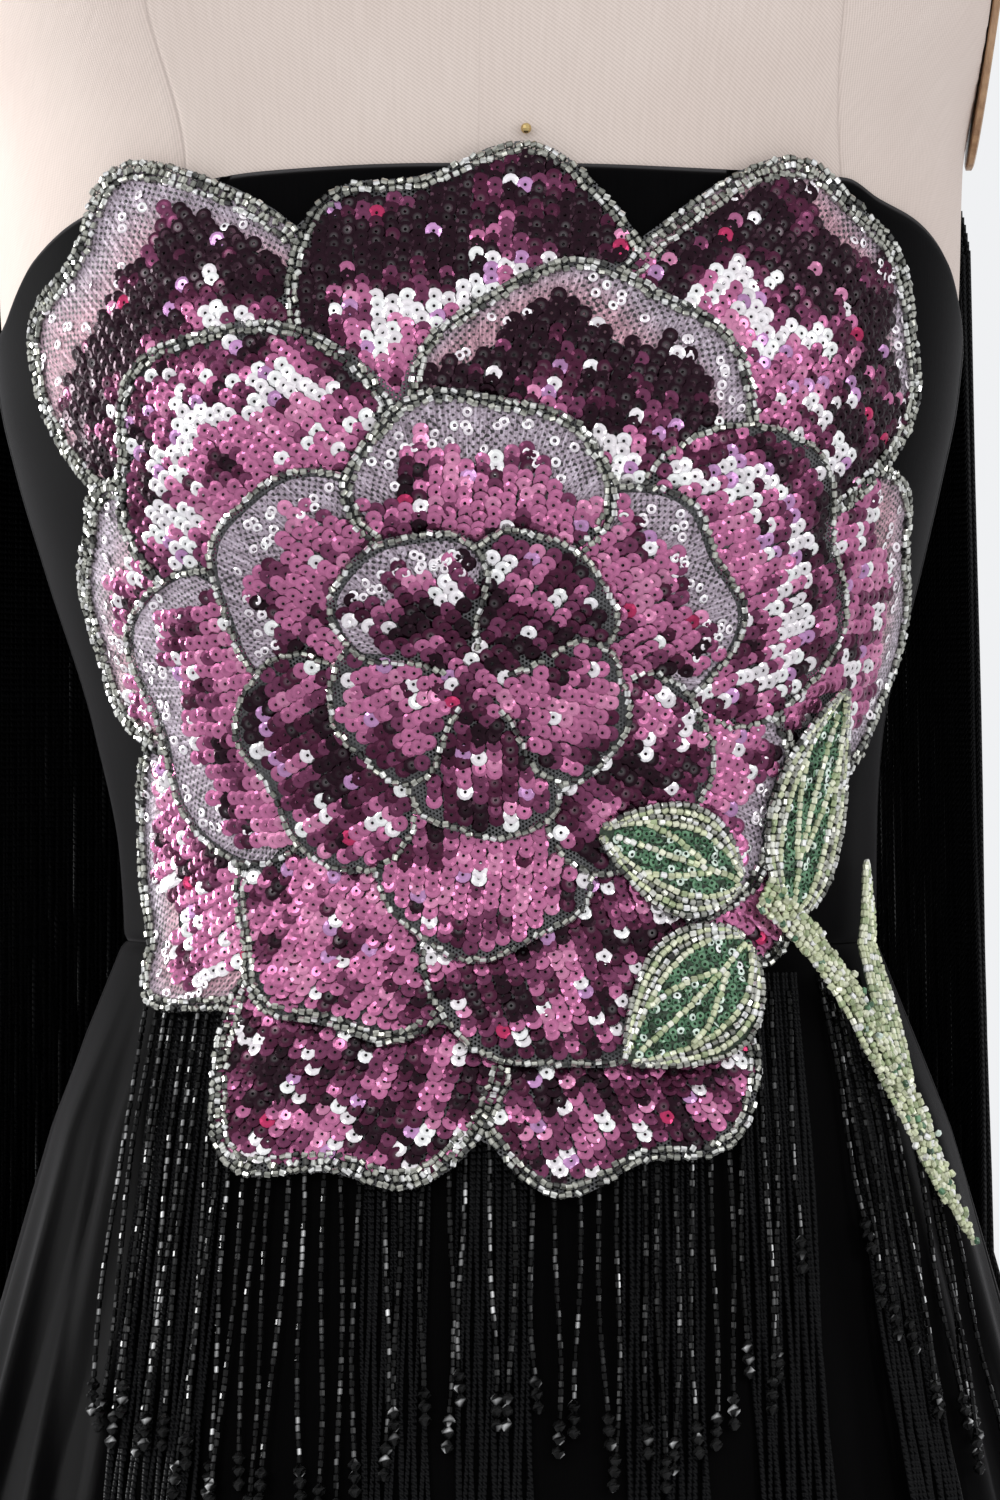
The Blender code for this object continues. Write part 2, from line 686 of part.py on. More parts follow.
def fringe_solid(name, roots, paths, colour_material):
    # Strands of three sides grown from the lower edge of one narrow strip.
    # A root is (left top, right top, inner top); a path is a list of such triples, top to bottom.
    points = []
    faces = []
    rings = []
    for root, path in zip(roots, paths):
        columns = []
        for triple in [root] + path:
            columns.append(tuple(range(len(points), len(points) + 3)))
            points.extend(triple)
        rings.append(columns)
    for columns in rings:
        (top_a, top_b, top_m), (low_a, low_b, low_m) = columns[0], columns[1]
        faces.append((top_a, low_a, low_b, top_b))
        faces.append((top_a, top_b, top_m))
        for upper, lower in zip(columns[1:], columns[2:]):
            for first, second in ((0, 1), (1, 2), (2, 0)):
                faces.append((upper[first], lower[first], lower[second], upper[second]))
        faces.append((columns[-1][0], columns[-1][2], columns[-1][1]))
    for left, right in zip(rings, rings[1:]):
        faces.append((left[0][1], left[1][1], right[1][0], right[0][0]))
        faces.append((left[0][2], right[0][2], right[1][2], left[1][2]))
        faces.append((left[0][1], right[0][0], right[0][2], left[0][2]))
        faces.append((left[1][1], left[1][2], right[1][2], right[1][0]))
    first, last = rings[0], rings[-1]
    faces.append((first[0][0], first[0][2], first[1][2], first[1][0]))
    faces.append((last[0][1], last[1][1], last[1][2], last[0][2]))
    return add_mesh(name, points, faces, colour_material)


def strand_triple(turn, z, offset, half_turn):
    # The three corners of a strand: two outside and one inside, towards the cloth
    return (cloth_point(turn - half_turn, z, offset + STRIP_THICKNESS, folded=False),
            cloth_point(turn + half_turn, z, offset + STRIP_THICKNESS, folded=False),
            cloth_point(turn, z, offset, folded=False))


def front_fringe(name, root_turns, strip_top, strip_low, ends, lean, offset, colour_material):
    # Strands that hang straight down the front of the skirt, or lean out with its flare
    out = CLOTH_OUTSIDE + offset
    roots, paths = [], []
    for turn, high, low, end in zip(root_turns, strip_top, strip_low, ends):
        half = edge_inset(low, STRAND_WIDTH / 2.0)
        roots.append(strand_triple(turn, high, out, half))
        root_x = cloth_point(turn, low, out, folded=False).x
        path = [strand_triple(turn, low, out, half)]
        stops = [z for z in FRONT_STOPS if end + 0.012 < z < low - 0.006]
        for z in stops + [end]:
            leaning = cloth_point(turn, z, out, folded=False).x
            x = root_x + lean * (leaning - root_x)
            path.append(strand_triple(turn_at(x, z, out), z, out, edge_inset(z, STRAND_WIDTH / 2.0)))
        paths.append(path)
    fringe_solid(name, roots, paths, colour_material)


def bloom_low_edge(turn):
    # The line under the bloom and the stem where the beaded strands are sewn
    across = math.radians(turn) * TURN_WIDTH - BLOOM_X
    highest = WAIST_Z - FRINGE_LINE_DROP
    if abs(across) < FRINGE_LINE_RADIUS * 0.98:
        return min(BLOOM_Z - math.sqrt(FRINGE_LINE_RADIUS ** 2 - across * across), highest)
    return highest


def stem_edge(turn):
    across = math.radians(turn) * TURN_WIDTH
    return read_table(STEM_ROWS, "across", "z", across) - 0.002


def build_bead_fringe():
    for group in as_rows(BEAD_GROUP_COLUMNS, BEAD_GROUPS):
        turns = spaced(group["first_turn"], group["last_turn"], group["count"])
        on_stem = group["name"].endswith("stem")
        line = [stem_edge(turn) if on_stem else bloom_low_edge(turn) for turn in turns]
        ends = []
        for step, turn in enumerate(turns):
            x = cloth_point(turn, line[step], CLOTH_OUTSIDE, folded=False).x
            uneven = BEAD_ENDS_UNEVEN * math.sin(2.4 * step + 0.7)
            ends.append(read_table(BEAD_END_ROWS, "x", "z", x * (1.0 + 0.12 * group["lean"])) + uneven)
        front_fringe(group["name"], turns, [z + 0.004 for z in line], [z - 0.002 for z in line],
                     ends, group["lean"], BEAD_OFFSET, BEADS)


def build_chain_fringe():
    for band in as_rows(BAND_COLUMNS, CHAIN_BANDS):
        top = WAIST_Z - 0.004
        low = WAIST_Z - 0.010
        turns = [turn_at(x, low, CLOTH_OUTSIDE) for x in spaced(band["first_x"], band["last_x"],
                                                                band["count"])]
        ends = [FRINGE_END_Z + 0.008 * math.sin(1.9 * step) for step in range(band["count"])]
        front_fringe(band["name"], turns, [top] * len(turns), [low] * len(turns), ends,
                     band["lean"], CHAIN_OFFSET, THREAD)


def curtain_point(turn, z, root_z, offset):
    # A back strand hangs from its root until the flaring skirt pushes it out
    hanging = cloth_point(turn, root_z, offset)
    if z >= root_z:
        return hanging
    resting = cloth_point(turn, z, offset, folded=False)
    if z >= WAIST_Z:
        resting = hanging
    if math.hypot(resting.x, resting.y) < math.hypot(hanging.x, hanging.y):
        resting = hanging
    return Vector((resting.x, resting.y, z))


def build_back_fringe():
    out = CLOTH_OUTSIDE + CURTAIN_OFFSET
    for curtain in as_rows(CURTAIN_COLUMNS, CURTAINS):
        roots, paths = [], []
        for step, turn in enumerate(spaced(curtain["first_turn"], curtain["last_turn"],
                                           curtain["count"])):
            edge = read_table(EDGE_ROWS, "turn", "z", signed_turn(turn))
            root_z = edge - 0.004
            half = edge_inset(CURTAIN_SPREAD_Z, STRAND_WIDTH / 2.0)
            triples = []
            for z in (root_z + 0.003, root_z - 0.003, CURTAIN_REST_Z,
                      FRINGE_END_Z + 0.008 * math.sin(1.7 * step)):
                at_root = root_z + 0.003 if z > 1.1 else root_z
                spot = min(z, at_root)
                spread = half if z > 1.0 else edge_inset(z, STRAND_WIDTH / 2.0)
                triple = [curtain_point(turn - spread, spot, root_z, out + STRIP_THICKNESS),
                          curtain_point(turn + spread, spot, root_z, out + STRIP_THICKNESS),
                          curtain_point(turn, spot, root_z, out)]
                for point in triple:
                    point.z = z
                triples.append(tuple(triple))
            roots.append(triples[0])
            paths.append(triples[1:])
        fringe_solid(curtain["name"], roots, paths, THREAD)


build_form()
build_armhole_plate("form_armhole_left", 1.0)
build_armhole_plate("form_armhole_right", -1.0)
build_pin()
build_bodice()
build_skirt()
build_bloom()
for leaf_row in as_rows(LEAF_COLUMNS, LEAVES):
    build_leaf(leaf_row)
build_stem()
build_bead_fringe()
build_chain_fringe()
build_back_fringe()
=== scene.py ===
# Looks of the strapless sequin gown on its dress form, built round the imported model.
# Metres, +Z up, the gown faces -Y. A turn is in degrees from the middle of the front, positive towards +X.
# A place on the flat applique is (across, z), where across is a turn in radians times TURN_WIDTH.

import math
import bmesh
import bpy
import numpy as np
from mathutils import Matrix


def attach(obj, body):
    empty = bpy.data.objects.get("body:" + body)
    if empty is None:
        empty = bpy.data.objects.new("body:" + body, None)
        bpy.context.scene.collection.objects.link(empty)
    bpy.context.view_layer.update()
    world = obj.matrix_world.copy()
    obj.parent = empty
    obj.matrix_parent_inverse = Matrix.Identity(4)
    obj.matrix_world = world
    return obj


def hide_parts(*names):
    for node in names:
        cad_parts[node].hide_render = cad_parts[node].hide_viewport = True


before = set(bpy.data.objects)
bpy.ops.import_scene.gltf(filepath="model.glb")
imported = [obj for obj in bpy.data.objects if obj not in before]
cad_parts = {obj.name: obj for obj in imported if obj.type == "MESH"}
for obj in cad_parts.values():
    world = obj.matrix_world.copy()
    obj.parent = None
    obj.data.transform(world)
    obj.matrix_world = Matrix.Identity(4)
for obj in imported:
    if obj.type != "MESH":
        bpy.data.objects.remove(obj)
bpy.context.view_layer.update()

draw = np.random.default_rng(20)


def table(columns, *rows):
    # A dictionary for each row
    return [dict(zip(columns.split(), row)) for row in rows]


def column(rows, name):
    return np.array([row[name] for row in rows], float)


# Sizes shared with the solids
WAIST_Z = 1.020
HEM_Z = 0.010
CLOTH_INSIDE = 0.0008
CLOTH_OUTSIDE = 0.0026
FRINGE_END_Z = 0.500
TURN_WIDTH = 0.125
FORM_BOTTOM_Z = 0.760

FORM = table(
    "z half_width front back centre_x square",
    (0.760, 0.1430, 0.0950, 0.1060, 0.0, 0.12),
    (0.830, 0.1550, 0.1005, 0.1110, 0.0, 0.12),
    (0.965, 0.1250, 0.0935, 0.0900, 0.0, 0.12),
    (1.020, 0.1102, 0.0870, 0.0800, 0.0, 0.12),
    (1.045, 0.1109, 0.0880, 0.0805, -0.0007, 0.12),
    (1.083, 0.1158, 0.0950, 0.0850, -0.0034, 0.12),
    (1.129, 0.1284, 0.1060, 0.0930, -0.0050, 0.12),
    (1.159, 0.1363, 0.1090, 0.0980, -0.0060, 0.12),
    (1.182, 0.1411, 0.1085, 0.1010, -0.0063, 0.12),
    (1.215, 0.1438, 0.1050, 0.1040, -0.0062, 0.14),
    (1.250, 0.1446, 0.0980, 0.1060, -0.0060, 0.18),
    (1.300, 0.1580, 0.0880, 0.1060, -0.0055, 0.26),
    (1.350, 0.1640, 0.0780, 0.1030, -0.0050, 0.30),
    (1.378, 0.1560, 0.0710, 0.0950, -0.0040, 0.24),
    (1.398, 0.1180, 0.0650, 0.0840, -0.0030, 0.10),
    (1.411, 0.0760, 0.0600, 0.0710, -0.0020, 0.0),
    (1.425, 0.0590, 0.0560, 0.0600, -0.0010, 0.0),
    (1.460, 0.0550, 0.0530, 0.0540, 0.0, 0.0),
)
SKIRT = table(
    "z half_width front back centre_x square",
    (0.000, 0.4270, 0.3390, 0.3390, 0.0, 0.12),
    (0.965, 0.1325, 0.1020, 0.0995, 0.0, 0.12),
    (1.020, 0.1102, 0.0870, 0.0800, 0.0, 0.12),
)
BUST_TURN = 27.0
BUST_TURN_SPREAD = 19.0
BUST_Z = 1.166
BUST_Z_SPREAD = 0.046
BUST_RISE = 0.012
# A strand may come this near to the body's outline, as a share of its half width
SIDE_LIMIT = 0.995
# The armholes' flat sides: height and distance from the middle
PLANE_Z, PLANE_REACH = np.array(((1.248, 0.1446), (1.302, 0.1514), (1.380, 0.1580))).T

FOLDS = table(
    "turn spread top_z hem_depth",
    (-8.0, 5.5, 0.80, 0.014), (14.0, 5.0, 0.74, 0.012), (31.0, 5.0, 0.88, 0.020), (44.0, 4.2, 0.99, 0.030),
    (55.0, 4.0, 0.96, 0.024), (66.0, 4.2, 1.00, 0.034), (79.0, 4.8, 0.95, 0.030), (95.0, 5.0, 0.98, 0.036),
    (112.0, 5.0, 0.93, 0.032), (128.0, 5.2, 0.97, 0.036), (146.0, 5.0, 0.95, 0.030),
    (163.0, 5.2, 0.98, 0.034), (-171.0, 5.0, 0.94, 0.030), (-153.0, 5.2, 0.98, 0.036),
    (-136.0, 5.0, 0.95, 0.030), (-119.0, 5.2, 0.98, 0.034), (-102.0, 5.0, 0.94, 0.034),
    (-86.0, 4.6, 0.99, 0.036), (-71.0, 4.2, 0.97, 0.030), (-60.0, 3.6, 1.00, 0.032),
    (-50.0, 3.6, 0.99, 0.028), (-39.0, 4.2, 0.96, 0.024), (-25.0, 5.0, 0.84, 0.016),
)
# Over the padded form the cloth has little room to fold
FOLD_ROOM = 0.0042
# The bodice's top edge: turn and height
EDGE_TURNS, EDGE_HEIGHTS = np.array((
    (-180.0, 1.2520), (-122.0, 1.2520), (-106.0, 1.2450), (-98.0, 1.2230), (-90.0, 1.1970), (-76.0, 1.2035),
    (-64.0, 1.2205), (-52.0, 1.2325), (-43.0, 1.2369), (-25.0, 1.2437), (-5.0, 1.2457), (8.0, 1.2457),
    (27.0, 1.2445), (47.0, 1.2432), (53.0, 1.2378), (62.0, 1.2320), (71.0, 1.2225), (80.0, 1.2070),
    (90.0, 1.1970), (98.0, 1.2230), (106.0, 1.2450), (122.0, 1.2520), (180.0, 1.2520),
)).T
SEAM_TURNS = (-132.0, -84.0, -30.0, 30.0, 84.0, 132.0)
PANEL_NAMES = (
    "centre_front", "side_front_left", "side_back_left", "back_left",
    "back_right", "side_back_right", "side_front_right",
)

# The bloom, in layers from the outer ring of petals to the heart
BLOOM_X = -0.002
BLOOM_Z = 1.096
PLATE_THICKNESS = 0.0011
PLATE_STEP = 0.0020
PETAL_OVERLAP = 1.30
# Heights of the small parts over their layer's plate
STITCH_LIFT = 0.0004
LEAF_RING_LIFT = 0.0007
SEQUIN_LIFT = 0.0009
LOOSE_RING_LIFT = 0.0010
GREEN_LIFT = 0.0011
SILVER_LIFT = 0.0012
APPLIQUE_OFFSET = 0.0036
BODICE_LIFT = 0.0012
# rank: which petal lies over its neighbours. margin: width of the embroidered net at the tip.
PETAL_COLUMNS = "turn length rank margin scheme rows"
BLOOM_LAYERS = (
    ("bloom_outer", 0.34, table(
        PETAL_COLUMNS,
        (0.0, 0.152, 3, 0.000, "night", 2),
        (41.0, 0.176, 5, 0.006, "night", 3),
        (82.0, 0.160, 2, 0.012, "blush", 2),
        (122.0, 0.126, 4, 0.000, "rose", 2),
        (162.0, 0.148, 1, 0.000, "wine", 2),
        (201.0, 0.152, 4, 0.000, "wine", 3),
        (241.0, 0.150, 2, 0.010, "blush", 2),
        (280.0, 0.138, 5, 0.013, "blush", 3),
        (320.0, 0.174, 1, 0.018, "night", 3),
    )),
    ("bloom_middle", 0.34, table(
        PETAL_COLUMNS,
        (21.0, 0.122, 2, 0.010, "night", 2),
        (68.0, 0.118, 4, 0.000, "glare", 1),
        (116.0, 0.106, 1, 0.009, "rose", 2),
        (165.0, 0.112, 3, 0.000, "wine", 1),
        (214.0, 0.114, 1, 0.000, "rose", 2),
        (263.0, 0.114, 4, 0.012, "rose", 1),
        (315.0, 0.124, 3, 0.000, "glare", 2),
    )),
    ("bloom_inner", 0.36, table(
        PETAL_COLUMNS,
        (2.0, 0.082, 3, 0.012, "rose", 2),
        (62.0, 0.078, 1, 0.009, "rose", 1),
        (122.0, 0.074, 4, 0.000, "wine", 1),
        (183.0, 0.078, 2, 0.000, "rose", 1),
        (244.0, 0.077, 5, 0.000, "wine", 1),
        (303.0, 0.080, 2, 0.010, "rose", 1),
    )),
    ("bloom_heart", 0.38, table(
        PETAL_COLUMNS,
        (35.0, 0.046, 2, 0.000, "wine", 1),
        (108.0, 0.043, 4, 0.000, "rose", 1),
        (180.0, 0.045, 1, 0.000, "wine", 1),
        (252.0, 0.043, 3, 0.000, "rose", 1),
        (324.0, 0.047, 5, 0.007, "wine", 1),
    )),
)
# Each petal also knows its layer's dip beside the tip and half the span of its base, in degrees
for _, layer_dip, layer_petals in BLOOM_LAYERS:
    for layer_petal in layer_petals:
        layer_petal.update(dip=layer_dip, span=PETAL_OVERLAP * 180.0 / len(layer_petals))
# Where each layer's net begins, from the bloom's middle
NET_STARTS = (0.090, 0.056, 0.026, 0.003)

LEAVES = table(
    "name base_x base_z heading length width level",
    ("leaf_high", 0.096, 1.029, 20.0, 0.070, 0.034, 2.0),
    ("leaf_inward", 0.076, 1.039, -72.0, 0.048, 0.032, 3.0),
    ("leaf_low", 0.078, 1.022, -128.0, 0.056, 0.036, 2.3),
    ("leaf_slender", 0.133, 0.972, 12.7, 0.075, 0.014, 0.0),
)
STEM = table(
    "across z width level",
    (0.084, 1.035, 0.0080, 3.0),
    (0.103, 1.021, 0.0085, 3.0),
    (0.118, 1.003, 0.0115, 2.0),
    (0.127, 0.983, 0.0135, 1.0),
    (0.1335, 0.962, 0.0110, 0.6),
    (0.1405, 0.944, 0.0070, 0.2),
    (0.147, 0.932, 0.0030, 0.0),
)

# Fringe: where the beaded strings end, as x and height
END_X, END_Z = np.array((
    (-0.111, 0.886), (-0.095, 0.884), (-0.072, 0.866), (-0.040, 0.862), (-0.030, 0.884), (0.0, 0.892),
    (0.030, 0.880), (0.036, 0.874), (0.058, 0.876), (0.066, 0.896), (0.078, 0.898), (0.085, 0.934),
    (0.096, 0.940), (0.102, 0.920), (0.114, 0.896), (0.130, 0.880), (0.150, 0.862),
)).T
BEAD_ENDS_UNEVEN = 0.006
BEAD_GROUPS = table(
    "name first_turn last_turn count lean",
    ("bead_fringe_right", -58.0, -27.0, 14, 0.45),
    ("bead_fringe_centre", -25.5, 23.0, 19, 0.10),
    ("bead_fringe_left", 25.0, 44.0, 7, 0.10),
    ("bead_fringe_stem", 51.0, 66.0, 10, 0.60),
)
CHAIN_BANDS = table(
    "name first_x last_x count lean",
    ("chain_fringe_a", -0.0960, -0.0735, 7, 0.40),
    ("chain_fringe_b", -0.0380, -0.0205, 5, 0.05),
    ("chain_fringe_c", -0.0120, 0.0085, 6, 0.05),
    ("chain_fringe_d", 0.0345, 0.0560, 6, 0.10),
    ("chain_fringe_e", 0.0665, 0.0850, 5, 0.25),
    ("chain_fringe_f", 0.0930, 0.1040, 5, 0.60),
)
CURTAINS = table(
    "name first_turn last_turn count",
    ("back_fringe_left", 99.5, 177.5, 32),
    ("back_fringe_right", 182.5, 260.5, 32),
)
CHAIN_OFFSET = 0.0003
BEAD_OFFSET = 0.0018
CURTAIN_OFFSET = 0.0007
CHAIN_RADIUS = 0.00085
THREAD_SIDES = 5
# The back fringe hangs straight from the bodice to this height, and rests on the skirt below it
CURTAIN_REST_Z = 0.925

# Small parts of the beading
SEQUIN_RADIUS = 0.00245
SEQUIN_HOLE = 0.19
SEQUIN_CUP = 0.00034
SEQUIN_PITCH_ALONG = 0.0027
SEQUIN_PITCH_ACROSS = 0.0041
SEQUIN_TILT = 9.0
SEQUIN_SIDES = 12
CENTRE_REACH = 0.0110
RING_RADIUS = 0.0015
BEAD_SIDES = 6
SILVER_LENGTH = 0.0021
SILVER_RADIUS = 0.00095
SILVER_ROW_PITCH = 0.0021
GREEN_LENGTH = 0.0020
GREEN_RADIUS = 0.00095
BUGLE_LENGTH = 0.0021
BUGLE_RADIUS = 0.0008
DROP_RADIUS = 0.0019
DROP_LENGTH = 0.0038
DROP_SIDES = 7

# Colours, as linear light
TINTS = {
    "dark": (0.016, 0.003, 0.009), "wine": (0.070, 0.012, 0.036), "plum": (0.170, 0.042, 0.100),
    "mauve": (0.520, 0.160, 0.320), "pink": (0.680, 0.260, 0.440), "orchid": (0.560, 0.290, 0.560),
    "hot": (0.480, 0.035, 0.120), "white": (1.000, 0.940, 0.980),
}
SCHEME_TINTS = ("dark", "wine", "plum", "mauve", "pink")
# Share of each tint by distance in from the petal's own edge; patches run through them in this order
# The bands stand partly for the sequins' own colours and partly for painted reflection: the dark tints near
# the tips are painted reflection of dark surroundings, and the glare column is the share of sequins painted
# white as a painted highlight
SCHEMES = table(
    "scheme until dark wine plum mauve pink glare",
    ("night", 0.022, 0.84, 0.12, 0.04, 0.00, 0.00, 0.01),
    ("night", 0.030, 0.26, 0.38, 0.26, 0.08, 0.02, 0.12),
    ("night", 0.042, 0.03, 0.14, 0.28, 0.42, 0.13, 0.64),
    ("night", 1.000, 0.01, 0.04, 0.08, 0.73, 0.14, 0.02),
    ("glare", 0.010, 0.20, 0.34, 0.32, 0.12, 0.02, 0.06),
    ("glare", 0.024, 0.04, 0.16, 0.28, 0.40, 0.12, 0.60),
    ("glare", 1.000, 0.02, 0.05, 0.10, 0.70, 0.13, 0.03),
    ("rose", 0.008, 0.05, 0.12, 0.22, 0.50, 0.11, 0.04),
    ("rose", 1.000, 0.03, 0.06, 0.10, 0.67, 0.14, 0.02),
    ("wine", 0.010, 0.18, 0.30, 0.26, 0.20, 0.06, 0.16),
    ("wine", 1.000, 0.26, 0.30, 0.24, 0.16, 0.04, 0.06),
    ("blush", 0.010, 0.04, 0.12, 0.24, 0.42, 0.18, 0.24),
    ("blush", 0.024, 0.06, 0.14, 0.22, 0.44, 0.14, 0.16),
    ("blush", 1.000, 0.06, 0.10, 0.16, 0.54, 0.14, 0.03),
)
LOOSE_SHARE = 0.08
LOOSE_TINTS = ("dark", "wine", "plum", "mauve", "pink", "orchid", "hot", "white")
LOOSE_CHANCES = (0.10, 0.16, 0.20, 0.16, 0.10, 0.12, 0.07, 0.09)


def smooth_step(low, high, at):
    share = np.clip((at - low) / (high - low), 0.0, 1.0)
    return share * share * (3.0 - 2.0 * share)


def signed_turn(turn):
    return (turn + 180.0) % 360.0 - 180.0


def bell(distance, spread):
    return np.exp(-0.5 * (distance / spread) ** 2)


def smooth_read(at, keys, values):
    # A smooth curve through the table's values, which never overshoots them
    rises = np.diff(values) / np.diff(keys)
    before, after = rises[:-1], rises[1:]
    same_way = before * after > 0.0
    total = np.where(same_way, before + after, 1.0)
    slopes = np.concatenate([[0.0], np.where(same_way, 2.0 * before * after / total, 0.0), [0.0]])
    index = np.clip(np.searchsorted(keys, at, side="right") - 1, 0, len(keys) - 2)
    width = keys[index + 1] - keys[index]
    share = np.clip((at - keys[index]) / width, 0.0, 1.0)
    near, far = share * share * (2.0 * share - 3.0) + 1.0, share * share * (3.0 - 2.0 * share)
    rising = width * share * (1.0 - share) * ((1.0 - share) * slopes[index] - share * slopes[index + 1])
    return near * values[index] + far * values[index + 1] + rising


def top_edge_z(turn):
    return smooth_read(signed_turn(np.asarray(turn, float)), EDGE_TURNS, EDGE_HEIGHTS)


def section_point(sections, turn, z, offset):
    # Points of a cross-section, with xyz last; turn, z and offset broadcast to one shape
    turn, z, offset = np.broadcast_arrays(turn, z, offset)
    # The form's few sections are joined by a smooth curve, and the skirt's by straight lines
    join = smooth_read if sections is FORM else np.interp
    half_width, front, back, centre_x, square = [
        join(z, column(sections, "z"), column(sections, name))
        for name in ("half_width", "front", "back", "centre_x", "square")]
    angle = np.radians(turn)
    facing = np.cos(angle)
    depth = np.where(facing > 0.0, front, back) + offset
    x = (half_width + offset) * np.sin(angle)
    y = -depth * facing * (1.0 + square * np.sin(angle) ** 2)
    side = np.abs(signed_turn(turn)) - BUST_TURN
    rise = BUST_RISE * bell(side, BUST_TURN_SPREAD) * bell(z - BUST_Z, BUST_Z_SPREAD)
    y = y - np.where(facing > 0.0, rise, 0.0)
    return np.stack([x + centre_x, y, z], axis=-1)


def form_point(turn, z, offset=0.0):
    points = section_point(FORM, turn, z, offset)
    heights = points[..., 2]
    middle = smooth_read(heights, column(FORM, "z"), column(FORM, "centre_x"))
    reach = np.where(heights > PLANE_Z[0], np.interp(heights, PLANE_Z, PLANE_REACH), 1.0) + offset
    points[..., 0] = middle + np.clip(points[..., 0] - middle, -reach, reach)
    return points


def fold_depth(turn, z):
    turn, z = np.broadcast_arrays(np.asarray(turn, float), np.asarray(z, float))
    depth = np.zeros(turn.shape)
    for fold in FOLDS:
        share = np.clip((fold["top_z"] - z) / (fold["top_z"] - HEM_Z), 0.0, None)
        reach = fold["spread"] * (0.8 + 0.35 * share)
        depth += fold["hem_depth"] * share ** 0.8 * bell(signed_turn(turn - fold["turn"]), reach)
    # Below the form the folds run free
    room = FOLD_ROOM * smooth_step(WAIST_Z, WAIST_Z - 0.12, z)
    room = room + 0.0100 * smooth_step(0.86, 0.70, z) + 0.0500 * smooth_step(0.74, 0.60, z)
    return np.minimum(depth, room)


def cloth_point(turn, z, offset, folded=True):
    # The garment's surface: the form's own above the waist and the skirt's below it
    turn, z, offset = [np.asarray(value, float) for value in (turn, z, offset)]
    turn, z, offset = np.broadcast_arrays(turn, z, offset)
    above = form_point(turn, z, offset)
    sunk = offset - fold_depth(turn, z) if folded else offset
    return np.where((z >= WAIST_Z)[..., None], above, section_point(SKIRT, turn, z, sunk))


def turn_at(x, z, offset):
    z = np.asarray(z, float)
    above, below = [np.interp(z, column(rows, "z"), column(rows, "half_width")) for rows in (FORM, SKIRT)]
    reach = np.where(z >= WAIST_Z, above, below) + offset
    return np.degrees(np.arcsin(np.clip(x / reach, -SIDE_LIMIT, SIDE_LIMIT)))


def flat_point(across, z, lift):
    # A place of the flat applique laid on the body, lift above the applique's underside
    across, z, lift = np.broadcast_arrays(across, z, lift)
    on_skirt = 1.0 - smooth_step(WAIST_Z + 0.002, WAIST_Z + 0.030, z)
    base = CLOTH_OUTSIDE + BODICE_LIFT + on_skirt * (APPLIQUE_OFFSET - BODICE_LIFT)
    return cloth_point(np.degrees(across / TURN_WIDTH), z, base + lift, folded=False)


def across_scale(across, z):
    # Metres of real cloth for each metre of the flat design's across
    step = 0.001
    gap = flat_point(across + step, z, 0.0) - flat_point(across - step, z, 0.0)
    return np.linalg.norm(gap, axis=-1) / (2.0 * step)


def unit(vectors):
    return vectors / np.maximum(np.linalg.norm(vectors, axis=-1, keepdims=True), 1e-12)


def laid_pieces(across, z, lift, heading, tip, roll):
    # Places of small pieces on the applique and their axes: x along the heading, tipped and rolled
    # about it; angles in radians
    step = 0.0005
    place = flat_point(across, z, lift)
    aside = unit(flat_point(across + step, z, lift) - place)
    up = flat_point(across, z + step, lift) - flat_point(across, z - step, lift)
    normal = unit(np.cross(aside, up))
    up = np.cross(normal, aside)
    along = unit(aside * np.sin(heading)[:, None] + up * np.cos(heading)[:, None])
    side = np.cross(normal, along)
    leaned = normal * np.cos(tip)[:, None] - along * np.sin(tip)[:, None]
    along = np.cross(side, leaned)
    leaned = leaned * np.cos(roll)[:, None] + side * np.sin(roll)[:, None]
    return place, np.stack([along, np.cross(leaned, along), unit(leaned)], axis=1)


# Meshes from arrays

def mesh_object(name, points, face_groups, uv=None, tint=None, smooth=True):
    # face_groups holds arrays of faces, each array with faces of one size
    mesh = bpy.data.meshes.new(name)
    points = np.ascontiguousarray(points, np.float32).reshape(-1, 3)
    loops = np.concatenate([np.asarray(group, np.int32).ravel() for group in face_groups])
    sizes = np.concatenate([np.full(len(group), np.shape(group)[1], np.int32) for group in face_groups])
    mesh.vertices.add(len(points))
    mesh.vertices.foreach_set("co", points.ravel())
    mesh.loops.add(len(loops))
    mesh.loops.foreach_set("vertex_index", loops)
    mesh.polygons.add(len(sizes))
    mesh.polygons.foreach_set("loop_start", np.concatenate([[0], np.cumsum(sizes)[:-1]]).astype(np.int32))
    mesh.polygons.foreach_set("use_smooth", np.full(len(sizes), smooth, bool))
    if uv is not None:
        layer = mesh.uv_layers.new(name="weave")
        layer.data.foreach_set("uv", np.ascontiguousarray(uv.reshape(-1, 2)[loops], np.float32).ravel())
    if tint is not None:
        layer = mesh.color_attributes.new("tint", "FLOAT_COLOR", "POINT")
        colours = np.concatenate([tint.reshape(-1, 3), np.ones((len(points), 1))], axis=1)
        layer.data.foreach_set("color", np.ascontiguousarray(colours, np.float32).ravel())
    mesh.update(calc_edges=True)
    mesh.validate()
    made = bpy.data.objects.new(name, mesh)
    bpy.context.scene.collection.objects.link(made)
    return made


def grid_faces(rows, columns, closed=False):
    steps = columns if closed else columns - 1
    row, step = np.meshgrid(np.arange(rows - 1), np.arange(steps), indexing="ij")
    after = (step + 1) % columns
    corners = np.stack([row * columns + step, row * columns + after,
                        (row + 1) * columns + after, (row + 1) * columns + step], axis=-1)
    return corners.reshape(-1, 4)


